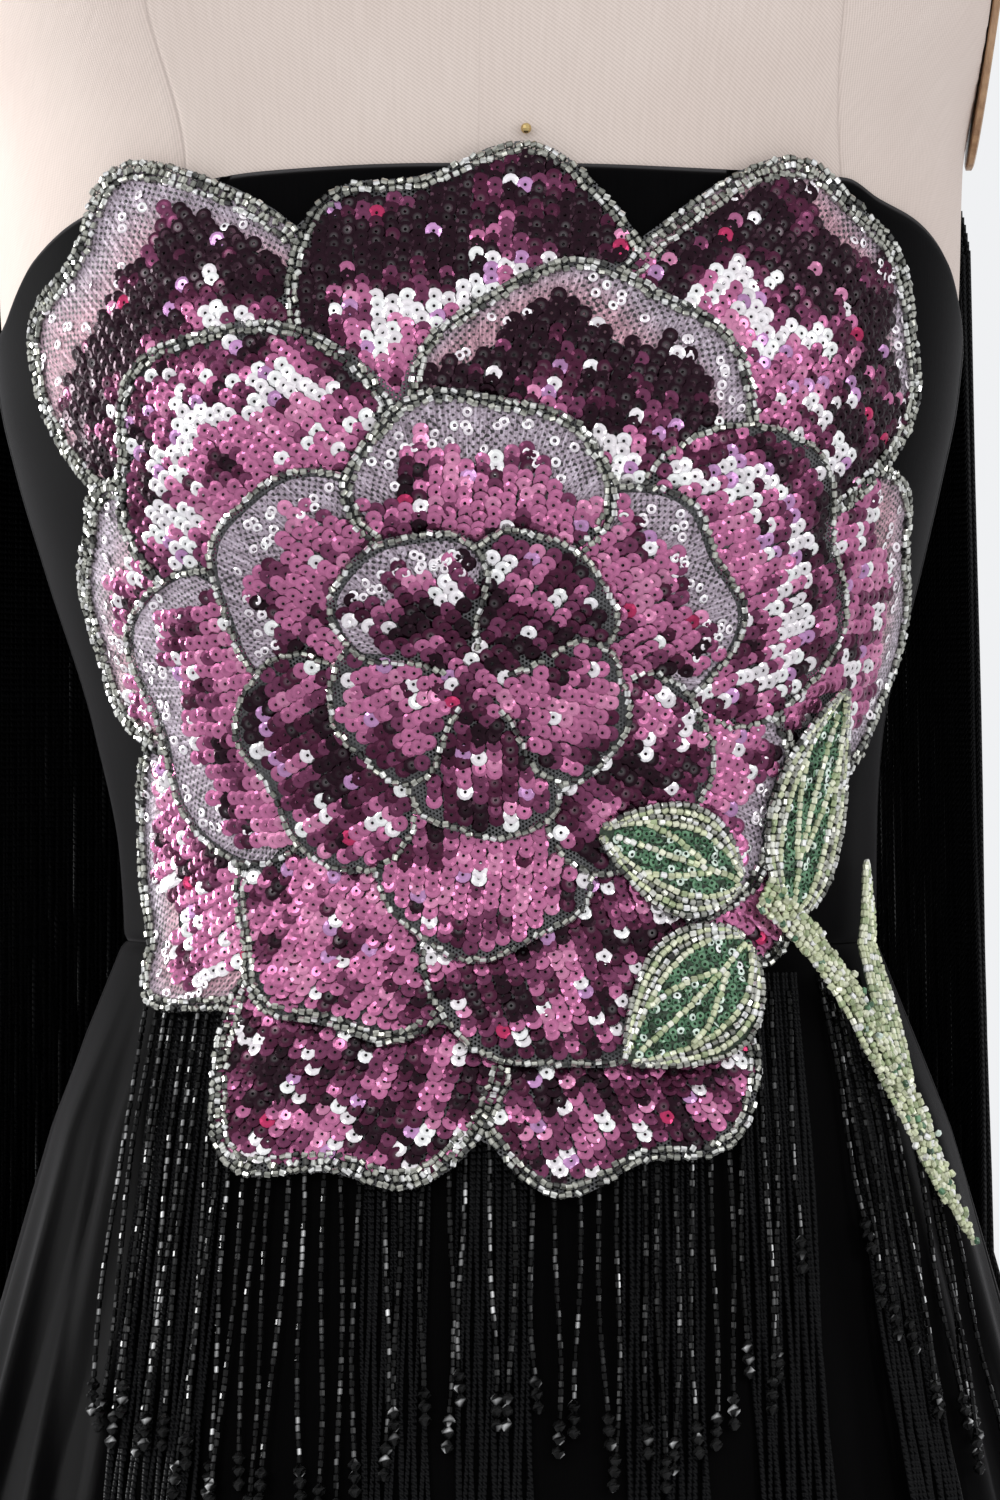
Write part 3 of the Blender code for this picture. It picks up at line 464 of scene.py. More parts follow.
def grid_object(name, points, uv=None, tint=None, closed=False, flip=False, ends=False):
    # A sheet from rows of points; ends adds a flat face on its first and last rows
    rows, columns = points.shape[:2]
    faces = grid_faces(rows, columns, closed)
    made = mesh_object(name, points, [faces[:, ::-1] if flip else faces], uv, tint)
    if ends:
        work = bmesh.new()
        work.from_mesh(made.data)
        work.verts.ensure_lookup_table()
        for row, order in ((0, -1), (rows - 1, 1)):
            ring = [work.verts[row * columns + step] for step in range(columns)]
            work.faces.new(ring[::order])
        work.to_mesh(made.data)
        work.free()
    return made


def finish_piece(made, material, slot=None, nodes=()):
    made.data.materials.clear()
    made.data.materials.append(material)
    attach(made, "root")
    if nodes:
        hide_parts(*nodes)


def scatter(name, shape, places, axes, tints, *finish):
    # Many copies of one small shape; axes is (count, 3, 3) with the shape's x, y and z as rows.
    # tints holds one colour for each copy, or one for each point of each copy
    shape_points, shape_faces = shape
    count, size = len(places), len(shape_points)
    points = places[:, None, :] + np.einsum("vk,nkj->nvj", shape_points, axes)
    shift = (np.arange(count) * size)[:, None, None]
    groups = [(faces[None, :, :] + shift).reshape(-1, faces.shape[1]) for faces in shape_faces]
    tint = np.broadcast_to(tints[:, None, :] if tints.ndim == 2 else tints, (count, size, 3))
    finish_piece(mesh_object(name, points, groups, tint=tint, smooth=False), *finish)


# Small shapes

def ring_points(rings, sides):
    # Points on circles round the z axis, from rows of radius, height and twist in steps
    points = []
    for radius, height, twist in rings:
        for step in range(sides):
            angle = 2.0 * math.pi * (step + twist) / sides
            points.append((radius * math.cos(angle), radius * math.sin(angle), height))
    return np.array(points)


def ring_shape(radius, hole, cup, sides):
    # A cupped disc with a hole: a flat rim, a short slope and the hole's edge
    rings = ((radius, 0.0, 0.0), (0.62 * radius, cup, 0.0), (hole * radius, cup * 0.85, 0.0))
    return ring_points(rings, sides), [grid_faces(3, sides, closed=True)]


def bar_shape(radius, length, sides, rings):
    # A short bar along its own x axis with closed ends, from rows of end, share of the radius and twist
    points = ring_points([(wide * radius, end * length, twist) for end, wide, twist in rings], sides)
    ends = np.array([list(reversed(range(sides))), list(range(3 * sides, 4 * sides))])
    return points[:, [2, 0, 1]], [grid_faces(4, sides, closed=True), ends]


def bead_shape(radius, length):
    rings = ((-0.5, 0.72, 0.0), (-0.36, 1.0, 0.0), (0.36, 1.0, 0.0), (0.5, 0.72, 0.0))
    return bar_shape(radius, length, BEAD_SIDES, rings)


def drop_shape():
    # A faceted crystal, whose lower half is turned by half a facet
    rings = ((-0.5, 0.30, 0.0), (-0.12, 1.0, 0.0), (0.12, 1.0, 0.5), (0.5, 0.30, 0.5))
    return bar_shape(DROP_RADIUS, DROP_LENGTH, DROP_SIDES, rings)


def bead_shade(ends, other=0.50):
    # Painted light and shade on each point of a bead: painted shade at both ends and on every other facet
    facets = np.where(np.arange(BEAD_SIDES) % 2 == 0, 1.0, other)
    return np.concatenate([share * facets for share in (ends, 1.0, 1.0, ends)])[None, :, None]


# Materials

class Shading:
    # A short hand for building one material's nodes
    def __init__(self, name, **values):
        self.material = bpy.data.materials.new(name)
        self.material.use_nodes = True
        self.nodes = self.material.node_tree.nodes
        self.links = self.material.node_tree.links
        self.shader = self.nodes["Principled BSDF"]
        for key, value in values.items():
            self.shader.inputs[key.replace("_", " ")].default_value = value

    def add(self, kind, output, inputs=(), **settings):
        # A new node; inputs are pairs of a socket's name or number and its value or source
        made = self.nodes.new("ShaderNode" + kind)
        for key, value in settings.items():
            setattr(made, key, value)
        for key, value in inputs:
            if isinstance(value, bpy.types.NodeSocket):
                self.links.new(value, made.inputs[key])
            else:
                made.inputs[key].default_value = value
        return made.outputs[output]

    def math(self, operation, *values):
        return self.add("Math", 0, enumerate(values), operation=operation)

    def place(self, space="UV"):
        return self.add("TexCoord", space)

    def noise(self, vector, scale, detail=3.0, roughness=0.5):
        inputs = (("Vector", vector), ("Scale", scale), ("Detail", detail), ("Roughness", roughness))
        return self.add("TexNoise", "Fac", inputs)

    def stretched(self, vector, scale):
        return self.add("Mapping", "Vector", (("Vector", vector), ("Scale", scale)))

    def ramp(self, factor, *stops):
        colour = self.add("ValToRGB", "Color", (("Fac", factor),))
        elements = colour.node.color_ramp.elements
        while len(elements) < len(stops):
            elements.new(0.5)
        for element, (position, value) in zip(elements, stops):
            element.position = position
            element.color = (*value, 1.0)
        return colour

    def mix(self, factor, first, second, blend="MIX"):
        inputs = ((0, factor), (6, first), (7, second))
        return self.add("Mix", 2, inputs, data_type="RGBA", blend_type=blend)

    def tint(self):
        return self.add("Attribute", "Color", attribute_name="tint")

    def waves(self, vector, turn, pitch):
        # A sine of the place along a line turned by this angle, one wave a pitch
        parts = self.add("SeparateXYZ", 0, ((0, vector),)).node.outputs
        rate = 2.0 * math.pi / pitch
        first = self.math("MULTIPLY", parts[0], rate * math.cos(math.radians(turn)))
        second = self.math("MULTIPLY", parts[1], rate * math.sin(math.radians(turn)))
        return self.math("SINE", self.math("ADD", first, second))

    def finished(self, colour, height=None, strength=0.0, distance=0.0):
        self.links.new(colour, self.shader.inputs["Base Color"])
        if height is not None:
            inputs = (("Height", height), ("Strength", strength), ("Distance", distance))
            self.links.new(self.add("Bump", "Normal", inputs), self.shader.inputs["Normal"])
        return self.material


def crepe_material(name, grey):
    made = Shading(name, Roughness=0.62, Sheen_Weight=0.090, Sheen_Roughness=0.30,
                   Sheen_Tint=(1.0, 0.965, 1.0, 1.0), Specular_IOR_Level=0.020)
    place = made.place()
    grain = made.noise(made.stretched(place, (2600.0, 90.0, 1.0)), 1.0, 4.0, 0.6)
    low, high = [tuple(share * part for part in grey) for share in (0.65, 1.55)]
    colour = made.mix(0.5, made.ramp(grain, (0.30, low), (0.75, high)),
                      made.ramp(made.noise(place, 9.0), (0.25, low), (0.8, high)))
    return made.finished(colour, grain, 0.30, 0.0002)


def linen_material():
    made = Shading("form_linen", Roughness=0.88, Specular_IOR_Level=0.25)
    place = made.place()
    slub = made.noise(made.stretched(place, (900.0, 60.0, 1.0)), 1.0)
    weave = made.math("ADD", made.math("MULTIPLY", made.waves(place, 52.0, 0.00096), 0.5),
                      made.math("MULTIPLY", made.waves(place, -38.0, 0.0007), 0.2))
    weave = made.math("ADD", weave, slub)
    base = made.ramp(made.noise(place, 14.0), (0.25, (0.672, 0.566, 0.514)), (0.75, (0.725, 0.629, 0.576)))
    lines = made.ramp(weave, (0.05, (0.85, 0.84, 0.83)), (0.85, (1.0, 1.0, 1.0)))
    cloth = made.mix(1.0, base, lines, "MULTIPLY")
    return made.finished(made.mix(1.0, cloth, made.tint(), "MULTIPLY"), weave, 0.35, 0.00012)


def tinted_material(name, **values):
    # Sequins and beads take their colours from the mesh
    made = Shading(name, **values)
    return made.finished(made.tint())


def net_material():
    # Hexagonal net: threads where three crossing waves run low, clear between them
    made = Shading("net", Roughness=0.7, Base_Color=(0.11, 0.11, 0.115, 1.0))
    place = made.place()
    pitch = 0.00105
    total = made.math("ADD", made.waves(place, 0.0, pitch), made.waves(place, 60.0, pitch))
    total = made.math("ADD", total, made.waves(place, 120.0, pitch))
    made.links.new(made.math("LESS_THAN", total, 0.35), made.shader.inputs["Alpha"])
    return made.material


def embroidery_material():
    # Satin stitch in close ribs, streaked along them, with uneven dark dots where the net shows between
    made = Shading("embroidery", Roughness=0.55, Sheen_Weight=0.3)
    place = made.place()
    rib = made.waves(place, 0.0, 0.0026)
    cross = made.waves(place, 90.0, 0.0023)
    streak = made.noise(made.stretched(place, (1100.0, 130.0, 1.0)), 1.0, 4.0, 0.7)
    fuzz = made.noise(place, 1300.0, 3.0, 0.6)
    broad = made.noise(place, 110.0, 3.0, 0.6)
    holes = made.math("ADD", made.math("MULTIPLY", made.math("MULTIPLY", rib, cross), 0.55),
                      made.math("MULTIPLY", fuzz, 2.2))
    holes = made.math("ADD", holes, made.math("MULTIPLY", broad, 1.3))
    dark = made.math("GREATER_THAN", holes, 2.02)
    mixed = made.math("ADD", made.math("MULTIPLY", streak, 0.65), made.math("MULTIPLY", fuzz, 0.35))
    thread = made.ramp(mixed, (0.36, (0.07, 0.055, 0.062)), (0.48, (0.36, 0.30, 0.335)),
                       (0.62, (0.86, 0.78, 0.83)))
    tinted = made.mix(1.0, thread, made.tint(), "MULTIPLY")
    ribs = made.math("ADD", rib, made.math("MULTIPLY", streak, 2.0))
    return made.finished(made.mix(dark, tinted, (0.014, 0.011, 0.013, 1.0)), ribs, 0.6, 0.0003)


def thread_material():
    made = Shading("fringe_thread", Roughness=0.40, Specular_IOR_Level=0.12)
    place = made.place()
    fine = made.noise(made.stretched(place, (1500.0, 220.0, 1.0)), 1.0)
    colour = made.ramp(fine, (0.3, (0.0008, 0.0008, 0.0010)), (0.8, (0.0050, 0.0050, 0.0057)))
    return made.finished(colour, made.waves(place, 62.0, 0.0016), 0.9, 0.0003)


def wood_material():
    made = Shading("form_wood", Roughness=0.42, Coat_Weight=0.25, Coat_Roughness=0.2)
    grain = made.noise(made.stretched(made.place("Object"), (60.0, 60.0, 8.0)), 6.0, 5.0, 0.65)
    colour = made.ramp(grain, (0.30, (0.22, 0.11, 0.05)), (0.55, (0.42, 0.25, 0.13)),
                       (0.80, (0.55, 0.36, 0.20)))
    return made.finished(colour, grain, 0.2, 0.0004)


def metal_material(name, colour, roughness):
    made = Shading(name, Roughness=roughness, Metallic=1.0)
    brushed = made.noise(made.stretched(made.place("Object"), (40.0, 40.0, 900.0)), 1.0)
    low = tuple(0.82 * part for part in colour)
    return made.finished(made.ramp(brushed, (0.3, low), (0.7, colour)), brushed, 0.08, 0.0002)


def leaf_ground_material():
    made = Shading("leaf_ground", Roughness=0.6)
    fuzz = made.noise(made.place(), 900.0)
    colour = made.ramp(fuzz, (0.3, (0.010, 0.016, 0.010)), (0.7, (0.05, 0.09, 0.05)))
    return made.finished(colour, fuzz, 0.4, 0.0002)


CREPE = crepe_material("bodice_crepe", (0.0013, 0.0012, 0.0014))
SKIRT_CREPE = crepe_material("skirt_crepe", (0.0008, 0.0007, 0.0008))
LINEN = linen_material()
SEQUINS = tinted_material("sequins", Roughness=0.24, Metallic=0.80)
SILVER = tinted_material("silver_beads", Roughness=0.14, Metallic=0.80, Specular_IOR_Level=0.5)
GREEN = tinted_material("green_beads", Roughness=0.14, Metallic=0.05, Specular_IOR_Level=0.6)
BLACK_BEADS = tinted_material("black_beads", Roughness=0.10, Metallic=0.0, Specular_IOR_Level=0.12)
NET = net_material()
EMBROIDERY = embroidery_material()
THREAD = thread_material()
WOOD = wood_material()
STEEL = metal_material("stand_metal", (0.58, 0.58, 0.59), 0.30)
BRASS = metal_material("pin_brass", (0.62, 0.46, 0.20), 0.25)
LEAF_GROUND = leaf_ground_material()


# Camera, lights and floor

FRAME_HEIGHT = 0.450
FRAME_MIDDLE_Z = 1.077
CAMERA_DISTANCE = 2.40
SENSOR = 36.0
FLOOR_REACH = 6.0
CHEST = (0.0, 0.0, 1.10)
LIGHTS = table(
    "name place target size power spread",
    ("key", (-1.6, -2.0, 2.1), CHEST, (0.7, 0.5), 8.0, 180.0),
    ("fill", (1.9, -1.6, 1.5), CHEST, (0.4, 1.2), 8.0, 180.0),
    ("side", (-2.3, -0.9, 1.4), CHEST, (0.4, 1.2), 3.5, 180.0),
    ("rim", (-2.2, 0.7, 1.1), (0.0, 0.0, 0.85), (0.4, 1.2), 6.0, 55.0),
    ("low", (0.6, -2.2, 0.5), CHEST, (0.9, 0.3), 2.0, 180.0),
)


def put_in_scene(data, place, rotation):
    made = bpy.data.objects.new(data.name, data)
    bpy.context.scene.collection.objects.link(made)
    made.location = place
    made.rotation_euler = rotation
    return made


def build_stage():
    scene = bpy.context.scene
    camera = bpy.data.cameras.new("camera")
    camera.sensor_width = SENSOR
    camera.lens = SENSOR * CAMERA_DISTANCE / FRAME_HEIGHT
    camera.clip_end = 60.0
    scene.camera = put_in_scene(camera, (0.0, -CAMERA_DISTANCE, FRAME_MIDDLE_Z), (math.pi / 2.0, 0.0, 0.0))
    scene.view_settings.view_transform = "Standard"

    world = bpy.data.worlds.new("studio")
    world.use_nodes = True
    background = world.node_tree.nodes["Background"]
    background.inputs["Color"].default_value = (0.871, 0.880, 0.896, 1.0)
    background.inputs["Strength"].default_value = 1.0
    scene.world = world

    for light in LIGHTS:
        data = bpy.data.lights.new(light["name"], "AREA")
        data.shape = "RECTANGLE"
        data.size, data.size_y = light["size"]
        data.energy = light["power"]
        data.spread = math.radians(light["spread"])
        aim = np.subtract(light["target"], light["place"])
        across = math.atan2(aim[1], aim[0])
        down = math.atan2(-aim[2], math.hypot(aim[0], aim[1]))
        lamp = put_in_scene(data, light["place"], (math.pi / 2.0 - down, 0.0, across - math.pi / 2.0))
        lamp.visible_camera = False

    corners = np.array([(-1.0, -1.0, 0.0), (1.0, -1.0, 0.0), (1.0, 1.0, 0.0), (-1.0, 1.0, 0.0)])
    floor = mesh_object("floor", FLOOR_REACH * corners, [np.array([[0, 1, 2, 3]])])
    shade = Shading("floor", Roughness=0.8)
    speck = shade.noise(shade.place("Object"), 3.0, 2.0)
    colour = shade.ramp(speck, (0.3, (0.70, 0.70, 0.71)), (0.7, (0.74, 0.74, 0.75)))
    floor.data.materials.append(shade.finished(colour))


# The dress form and its stand

FORM_SEAMS = table(
    "turn depth bend",
    (0.0, 0.0001, 0.0), (-38.7, 0.0006, 2.5), (42.4, 0.0005, 4.5), (180.0, 0.0005, 0.0),
    (-96.0, 0.0005, 0.0), (96.0, 0.0005, 0.0), (-140.0, 0.0006, 3.0), (140.0, 0.0006, -3.0),
)
SIDE_TWILL_TURN = 44.0
NECK_TOP_Z = 1.4603
COLLAR_LOW_Z = FORM_BOTTOM_Z - 0.040
# Outlines as radius and height, and how far their corners are cut back
STAND_PIECES = (
    ("neck_cap", "form_neck_cap", WOOD, "form_wood", 0.002, (
        (0.050, NECK_TOP_Z), (0.052, NECK_TOP_Z + 0.008), (0.046, NECK_TOP_Z + 0.014),
        (0.016, NECK_TOP_Z + 0.018), (0.012, NECK_TOP_Z + 0.026), (0.018, NECK_TOP_Z + 0.036),
        (0.014, NECK_TOP_Z + 0.046), (0.004, NECK_TOP_Z + 0.050))),
    ("collar", "form_collar", STEEL, "stand_metal", 0.0012, (
        (0.022, COLLAR_LOW_Z), (0.030, COLLAR_LOW_Z + 0.006), (0.030, COLLAR_LOW_Z + 0.026),
        (0.044, FORM_BOTTOM_Z - 0.006), (0.044, FORM_BOTTOM_Z - 0.0003))),
    ("pole", "stand_pole", STEEL, "stand_metal", None, (
        (0.016, 0.0243), (0.016, 0.100), (0.016, COLLAR_LOW_Z - 0.0003))),
    ("base", "stand_base", STEEL, "stand_metal", 0.003, (
        (0.178, 0.0), (0.180, 0.003), (0.180, 0.008), (0.174, 0.012), (0.060, 0.016),
        (0.030, 0.024), (0.010, 0.024))),
)
LATHE_SIDES = 96
PLATE_MIDDLE = (0.003, 1.313)
PLATE_HALF = (0.033, 0.062)
# Rings of an armhole plate: share of its size and height above the cloth
PLATE_RINGS = ((0.05, 0.0006), (0.985, 0.0006), (1.0, 0.0010), (1.0, 0.0026),
               (0.985, 0.0030), (0.93, 0.0030), (0.05, 0.0030))


def build_form():
    # The padded body in its linen cover, which is drawn in at the seams
    beside = np.array([-0.9, -0.40, -0.14, 0.0, 0.14, 0.40, 0.9])
    columns = [np.arange(0.0, 360.0, 2.0)] + [seam["turn"] % 360.0 + beside for seam in FORM_SEAMS]
    columns = np.unique((np.concatenate(columns) % 360.0).round(3))
    heights = np.concatenate([np.linspace(0.760, 1.020, 14), np.linspace(1.028, 1.378, 70),
                              np.linspace(1.382, 1.460, 24)])
    start, z = np.meshgrid(columns, heights)
    turn, depth, mark = start.copy(), np.zeros(start.shape), np.zeros(start.shape)
    for seam in FORM_SEAMS:
        gap = signed_turn(start - seam["turn"])
        turn += seam["bend"] * smooth_step(1.30, 1.24, z) * bell(gap, 9.0)
        depth += seam["depth"] * bell(gap, 0.25)
        if seam["depth"] > 0.0002:
            mark += bell(gap, 0.11)
    flat_x = np.radians(turn) * 0.14
    # The cover's side pieces are cut on another grain, so their twill runs steeper
    front = (signed_turn(start) > FORM_SEAMS[1]["turn"]) & (signed_turn(start) < FORM_SEAMS[2]["turn"])
    twist = np.where(front, 0.0, math.radians(SIDE_TWILL_TURN))
    uv = np.stack([flat_x * np.cos(twist) - z * np.sin(twist),
                   flat_x * np.sin(twist) + z * np.cos(twist)], axis=-1)
    tint = np.repeat((1.0 - 0.11 * np.clip(mark, 0.0, 1.0))[..., None], 3, axis=-1)
    body = grid_object("form_cover", form_point(turn, z, -depth), uv, tint, closed=True, ends=True)
    finish_piece(body, LINEN, "form_linen", ("form_body",))


def rounded(profile, cut):
    # The profile with each inner corner cut back twice, so its edges catch the light
    profile = [np.array(point) for point in profile]
    points = profile[:1]
    for before, corner, after in zip(profile, profile[1:], profile[2:]):
        start, end = [
            corner + (other - corner) / np.linalg.norm(other - corner)
            * min(cut, 0.4 * np.linalg.norm(other - corner)) for other in (before, after)]
        for share in (0.0, 0.5, 1.0):
            points.append((1 - share) ** 2 * start + 2 * share * (1 - share) * corner + share ** 2 * end)
    return points + profile[-1:]


def build_stand():
    # Lathe pieces with flat ends
    angles = np.linspace(0.0, 2.0 * math.pi, LATHE_SIDES, endpoint=False)
    for name, node, material, slot, cut, profile in STAND_PIECES:
        radius, height = np.array(rounded(profile, cut) if cut else profile).T[:, :, None]
        points = np.broadcast_arrays(radius * np.cos(angles), radius * np.sin(angles), height)
        made = grid_object(name, np.stack(points, axis=-1), closed=True, ends=True)
        made.data.set_sharp_from_angle(angle=math.radians(32.0))
        finish_piece(made, material, slot, (node,))


def build_armhole_plates():
    angles = np.linspace(0.0, 2.0 * math.pi, LATHE_SIDES, endpoint=False)
    for side, hand in (("left", 1.0), ("right", -1.0)):
        rings = []
        for share, out in PLATE_RINGS:
            y = PLATE_MIDDLE[0] + share * PLATE_HALF[0] * np.cos(angles)
            z = PLATE_MIDDLE[1] + share * PLATE_HALF[1] * np.sin(angles)
            middle = np.interp(z, column(FORM, "z"), column(FORM, "centre_x"))
            x = middle + hand * (np.interp(z, PLANE_Z, PLANE_REACH) + out)
            rings.append(np.stack([x, y, z], axis=-1))
        made = grid_object("armhole_plate_" + side, np.array(rings), closed=True, flip=hand < 0, ends=True)
        made.data.set_sharp_from_angle(angle=math.radians(35.0))
        finish_piece(made, WOOD, "form_wood", ("form_armhole_" + side,))


# Bodice and skirt

GROOVE_DEPTH = 0.0006
GROOVE_WIDTH = 0.28
TURNED_EDGE = 0.0200
TURNED_HEM = 0.030
ZIP_TOP_Z = 1.2515
# Ridges with a gentle side and a steep one; the steep side looks towards the front
CREASES = table(
    "turn drift top_z low_z height gentle steep",
    (-69.0, 8.0, 1.008, 0.700, 0.0044, 4.0, 1.3),
    (-64.0, 19.0, 1.000, 0.700, 0.0032, 3.4, 1.2),
    (-52.0, 15.0, 0.990, 0.720, 0.0030, 4.4, 1.8),
    (-38.0, 3.0, 0.985, 0.740, 0.0014, 3.6, 1.8),
    (-58.0, 4.0, 1.012, 0.900, 0.0009, 2.0, 1.2),
    (59.0, -8.0, 1.006, 0.720, 0.0030, 4.0, 1.5),
    (71.0, -7.0, 1.002, 0.700, 0.0032, 3.8, 1.4),
    (102.0, -3.0, 1.008, 0.740, 0.0022, 3.4, 2.0),
    (124.0, 4.0, 1.012, 0.760, 0.0020, 3.6, 2.2),
    (150.0, -4.0, 1.008, 0.740, 0.0022, 3.4, 2.0),
    (-158.0, 5.0, 1.012, 0.740, 0.0022, 3.6, 2.2),
    (-134.0, -3.0, 1.006, 0.760, 0.0020, 3.4, 2.0),
    (-110.0, 4.0, 1.012, 0.740, 0.0024, 3.6, 2.0),
)


def seam_columns(step, seams):
    # Columns round the body, closer together at each seam
    turns = [np.arange(-180.0, 180.0, step)]
    for seam in seams:
        turns.append(seam + np.array([-0.9, -0.5, -0.22, 0.0, 0.22, 0.5, 0.9]))
    turns = np.unique(np.concatenate(turns).round(3))
    return turns[(turns >= -180.0) & (turns < 180.0)]


def seam_groove(turn, seams):
    total = np.zeros(np.shape(turn))
    for seam in seams:
        total = total + GROOVE_DEPTH * bell(signed_turn(turn - seam), GROOVE_WIDTH)
    return total


def skirt_creases(turn, z):
    # Ridges that fan down from the waist seam
    total = np.zeros(turn.shape)
    for crease in CREASES:
        share = np.clip((crease["top_z"] - z) / (crease["top_z"] - crease["low_z"]), 0.0, 1.0)
        gap = signed_turn(turn - crease["turn"] - crease["drift"] * share)
        width = np.where(gap * crease["turn"] < 0.0, crease["steep"], crease["gentle"])
        total += crease["height"] * np.sin(math.pi * share) ** 0.8 * bell(gap, width)
    return total


def build_bodice():
    turns = seam_columns(1.0, SEAM_TURNS + (-180.0, 177.6, -177.6))
    share = np.linspace(0.0, 1.0, 72)[:, None]
    turn = np.broadcast_to(turns, (len(share), len(turns)))
    top = top_edge_z(turn)
    low = WAIST_Z + 0.0002
    # Closer rows near both edges, where the cloth rolls over
    z = low + (share - 0.05 * np.sin(2.0 * math.pi * share)) * (top - low)
    roll = 0.0010 * bell(z - low, 0.0010) + 0.0012 * bell(top - z, 0.0010)
    pull = 0.0003 * np.sin(turn * 0.31 + 1.0) * bell(z - 1.05, 0.02)
    outer = cloth_point(turn, z, CLOTH_OUTSIDE - seam_groove(turn, SEAM_TURNS) - roll + pull)
    # The turned edge at the top, down the inside for the width of a hem
    drops = (0.0002, 0.0012, TURNED_EDGE)
    inside = [cloth_point(turns, top[0] - drop, CLOTH_INSIDE + extra)
              for drop, extra in zip(drops, (0.0006, 0.0, 0.0))]
    # The seam allowance at the waist, hidden under the skirt's top
    tucked = [cloth_point(turns, WAIST_Z - 0.0030, CLOTH_INSIDE + 0.0002),
              cloth_point(turns, low, CLOTH_INSIDE + 0.0004)]
    points = np.concatenate([tucked, outer, inside])
    heights = np.concatenate([z[:1], z[:1], z, [top[0] - drop for drop in drops]])
    uv = np.stack([np.radians(np.broadcast_to(turns, heights.shape)) * 0.13, heights], axis=-1)
    made = grid_object("bodice", points, uv, closed=True)
    finish_piece(made, CREPE, "bodice_crepe", ["bodice_" + name for name in PANEL_NAMES])


def build_skirt():
    seams = SEAM_TURNS + (-180.0,)
    closer = [np.arange(-76.0, -36.0, 0.6), np.arange(46.0, 74.0, 0.8)]
    turns = np.unique(np.concatenate([seam_columns(1.2, seams), *closer]).round(3))
    heights = np.concatenate([[1.0198, 1.0192, 1.0180], np.linspace(1.0160, 0.84, 38),
                              np.linspace(0.830, 0.016, 58), [0.0125, 0.0105, HEM_Z]])
    turn, z = np.meshgrid(turns, heights)
    roll = 0.0010 * bell(WAIST_Z - z, 0.0008)
    outer = cloth_point(turn, z, CLOTH_OUTSIDE - seam_groove(turn, seams) - roll + skirt_creases(turn, z))
    inside = [cloth_point(turns, HEM_Z + rise, CLOTH_INSIDE) for rise in (0.0, TURNED_HEM)]
    uv = np.stack([np.radians(turn) * (0.13 + 0.30 * (WAIST_Z - z)), z], axis=-1)
    made = grid_object("skirt", np.concatenate([outer, inside]), np.concatenate([uv, uv[-2:]]),
                       closed=True, flip=True)
    finish_piece(made, SKIRT_CREPE, "skirt_crepe", ["skirt_" + name for name in PANEL_NAMES])


def build_zip():
    # The closed zip's tape edges and the coil between them, in the centre back seam
    across = np.array([-0.0030, -0.0012, -0.0007, 0.0, 0.0007, 0.0012, 0.0030])
    lift = np.array([0.0, 0.0002, 0.0007, 0.0010, 0.0007, 0.0002, 0.0])
    heights = np.linspace(WAIST_Z + 0.0003, ZIP_TOP_Z, 60)
    turn, z = np.meshgrid(180.0 + np.degrees(across / TURN_WIDTH), heights)
    points = cloth_point(turn, z, CLOTH_OUTSIDE - 0.0004 + lift)
    made = grid_object("zip_tape", points, np.stack([np.radians(turn) * TURN_WIDTH, z], axis=-1))
    finish_piece(made, THREAD, "zip_tape", ("back_zip",))


# The bloom

def stray(spread, count):
    return draw.normal(0.0, spread, count)


def joined(pieces):
    # Places and axes of all the small pieces of one object
    places, axes = zip(*pieces)
    return np.concatenate(places), np.concatenate(axes)


def petal_reach(petal, share):
    # A soft uneven wave runs round the tip, dying out towards the petal's sides
    wave = 0.022 * np.sin(share * 5.2 + petal["turn"]) + 0.016 * np.sin(share * 9.1 + 2.0 * petal["turn"])
    ruffle = 1.0 + (wave - 0.006) * np.clip(1.0 - share ** 4.0, 0.0, 1.0)
    return petal["length"] * (1.0 - petal["dip"] * np.abs(share) ** 3.0) * ruffle


def margin_width(petal, share):
    # The margin narrows away from the tip's middle
    return petal["margin"] * (1.0 - 0.75 * share ** 2)


def petal_narrow(petal, radius):
    # A petal is a little narrower near the bloom's middle
    return 0.80 + 0.20 * smooth_step(0.3, 0.85, radius / petal["length"])


def petal_spot(petal, share, radius):
    # The place at this share of the petal's half span and distance from the bloom's middle
    angle = math.radians(petal["turn"]) + share * math.radians(petal["span"]) * petal_narrow(petal, radius)
    return BLOOM_X + radius * np.sin(angle), BLOOM_Z + radius * np.cos(angle)


def petal_place(petal, across, z):
    # Share of the petal's half span, and distance in from the tip's edge
    aside, up = across - BLOOM_X, z - BLOOM_Z
    radius = np.hypot(aside, up)
    span = petal["span"] * petal_narrow(petal, radius)
    share = signed_turn(np.degrees(np.arctan2(aside, up)) - petal["turn"]) / span
    return share, np.where(np.abs(share) < 1.0, petal_reach(petal, share) - radius, -1.0)


def leaf_half(leaf, share):
    return 0.5 * leaf["width"] * np.sin(math.pi * np.clip(share, 0.001, 0.999) ** 0.8) ** 0.8


def leaf_side(leaf, across, z):
    # 0 on the leaf's midrib, 1 on its edge and more outside it
    heading = math.radians(leaf["heading"])
    aside, up = across - leaf["base_x"], z - leaf["base_z"]
    along = (aside * math.sin(heading) + up * math.cos(heading)) / leaf["length"]
    lean = aside * math.cos(heading) - up * math.sin(heading)
    side = np.abs(lean) / np.maximum(leaf_half(leaf, along), 1e-5)
    return np.where((along > 0.0) & (along < 1.0), side, 9.0)


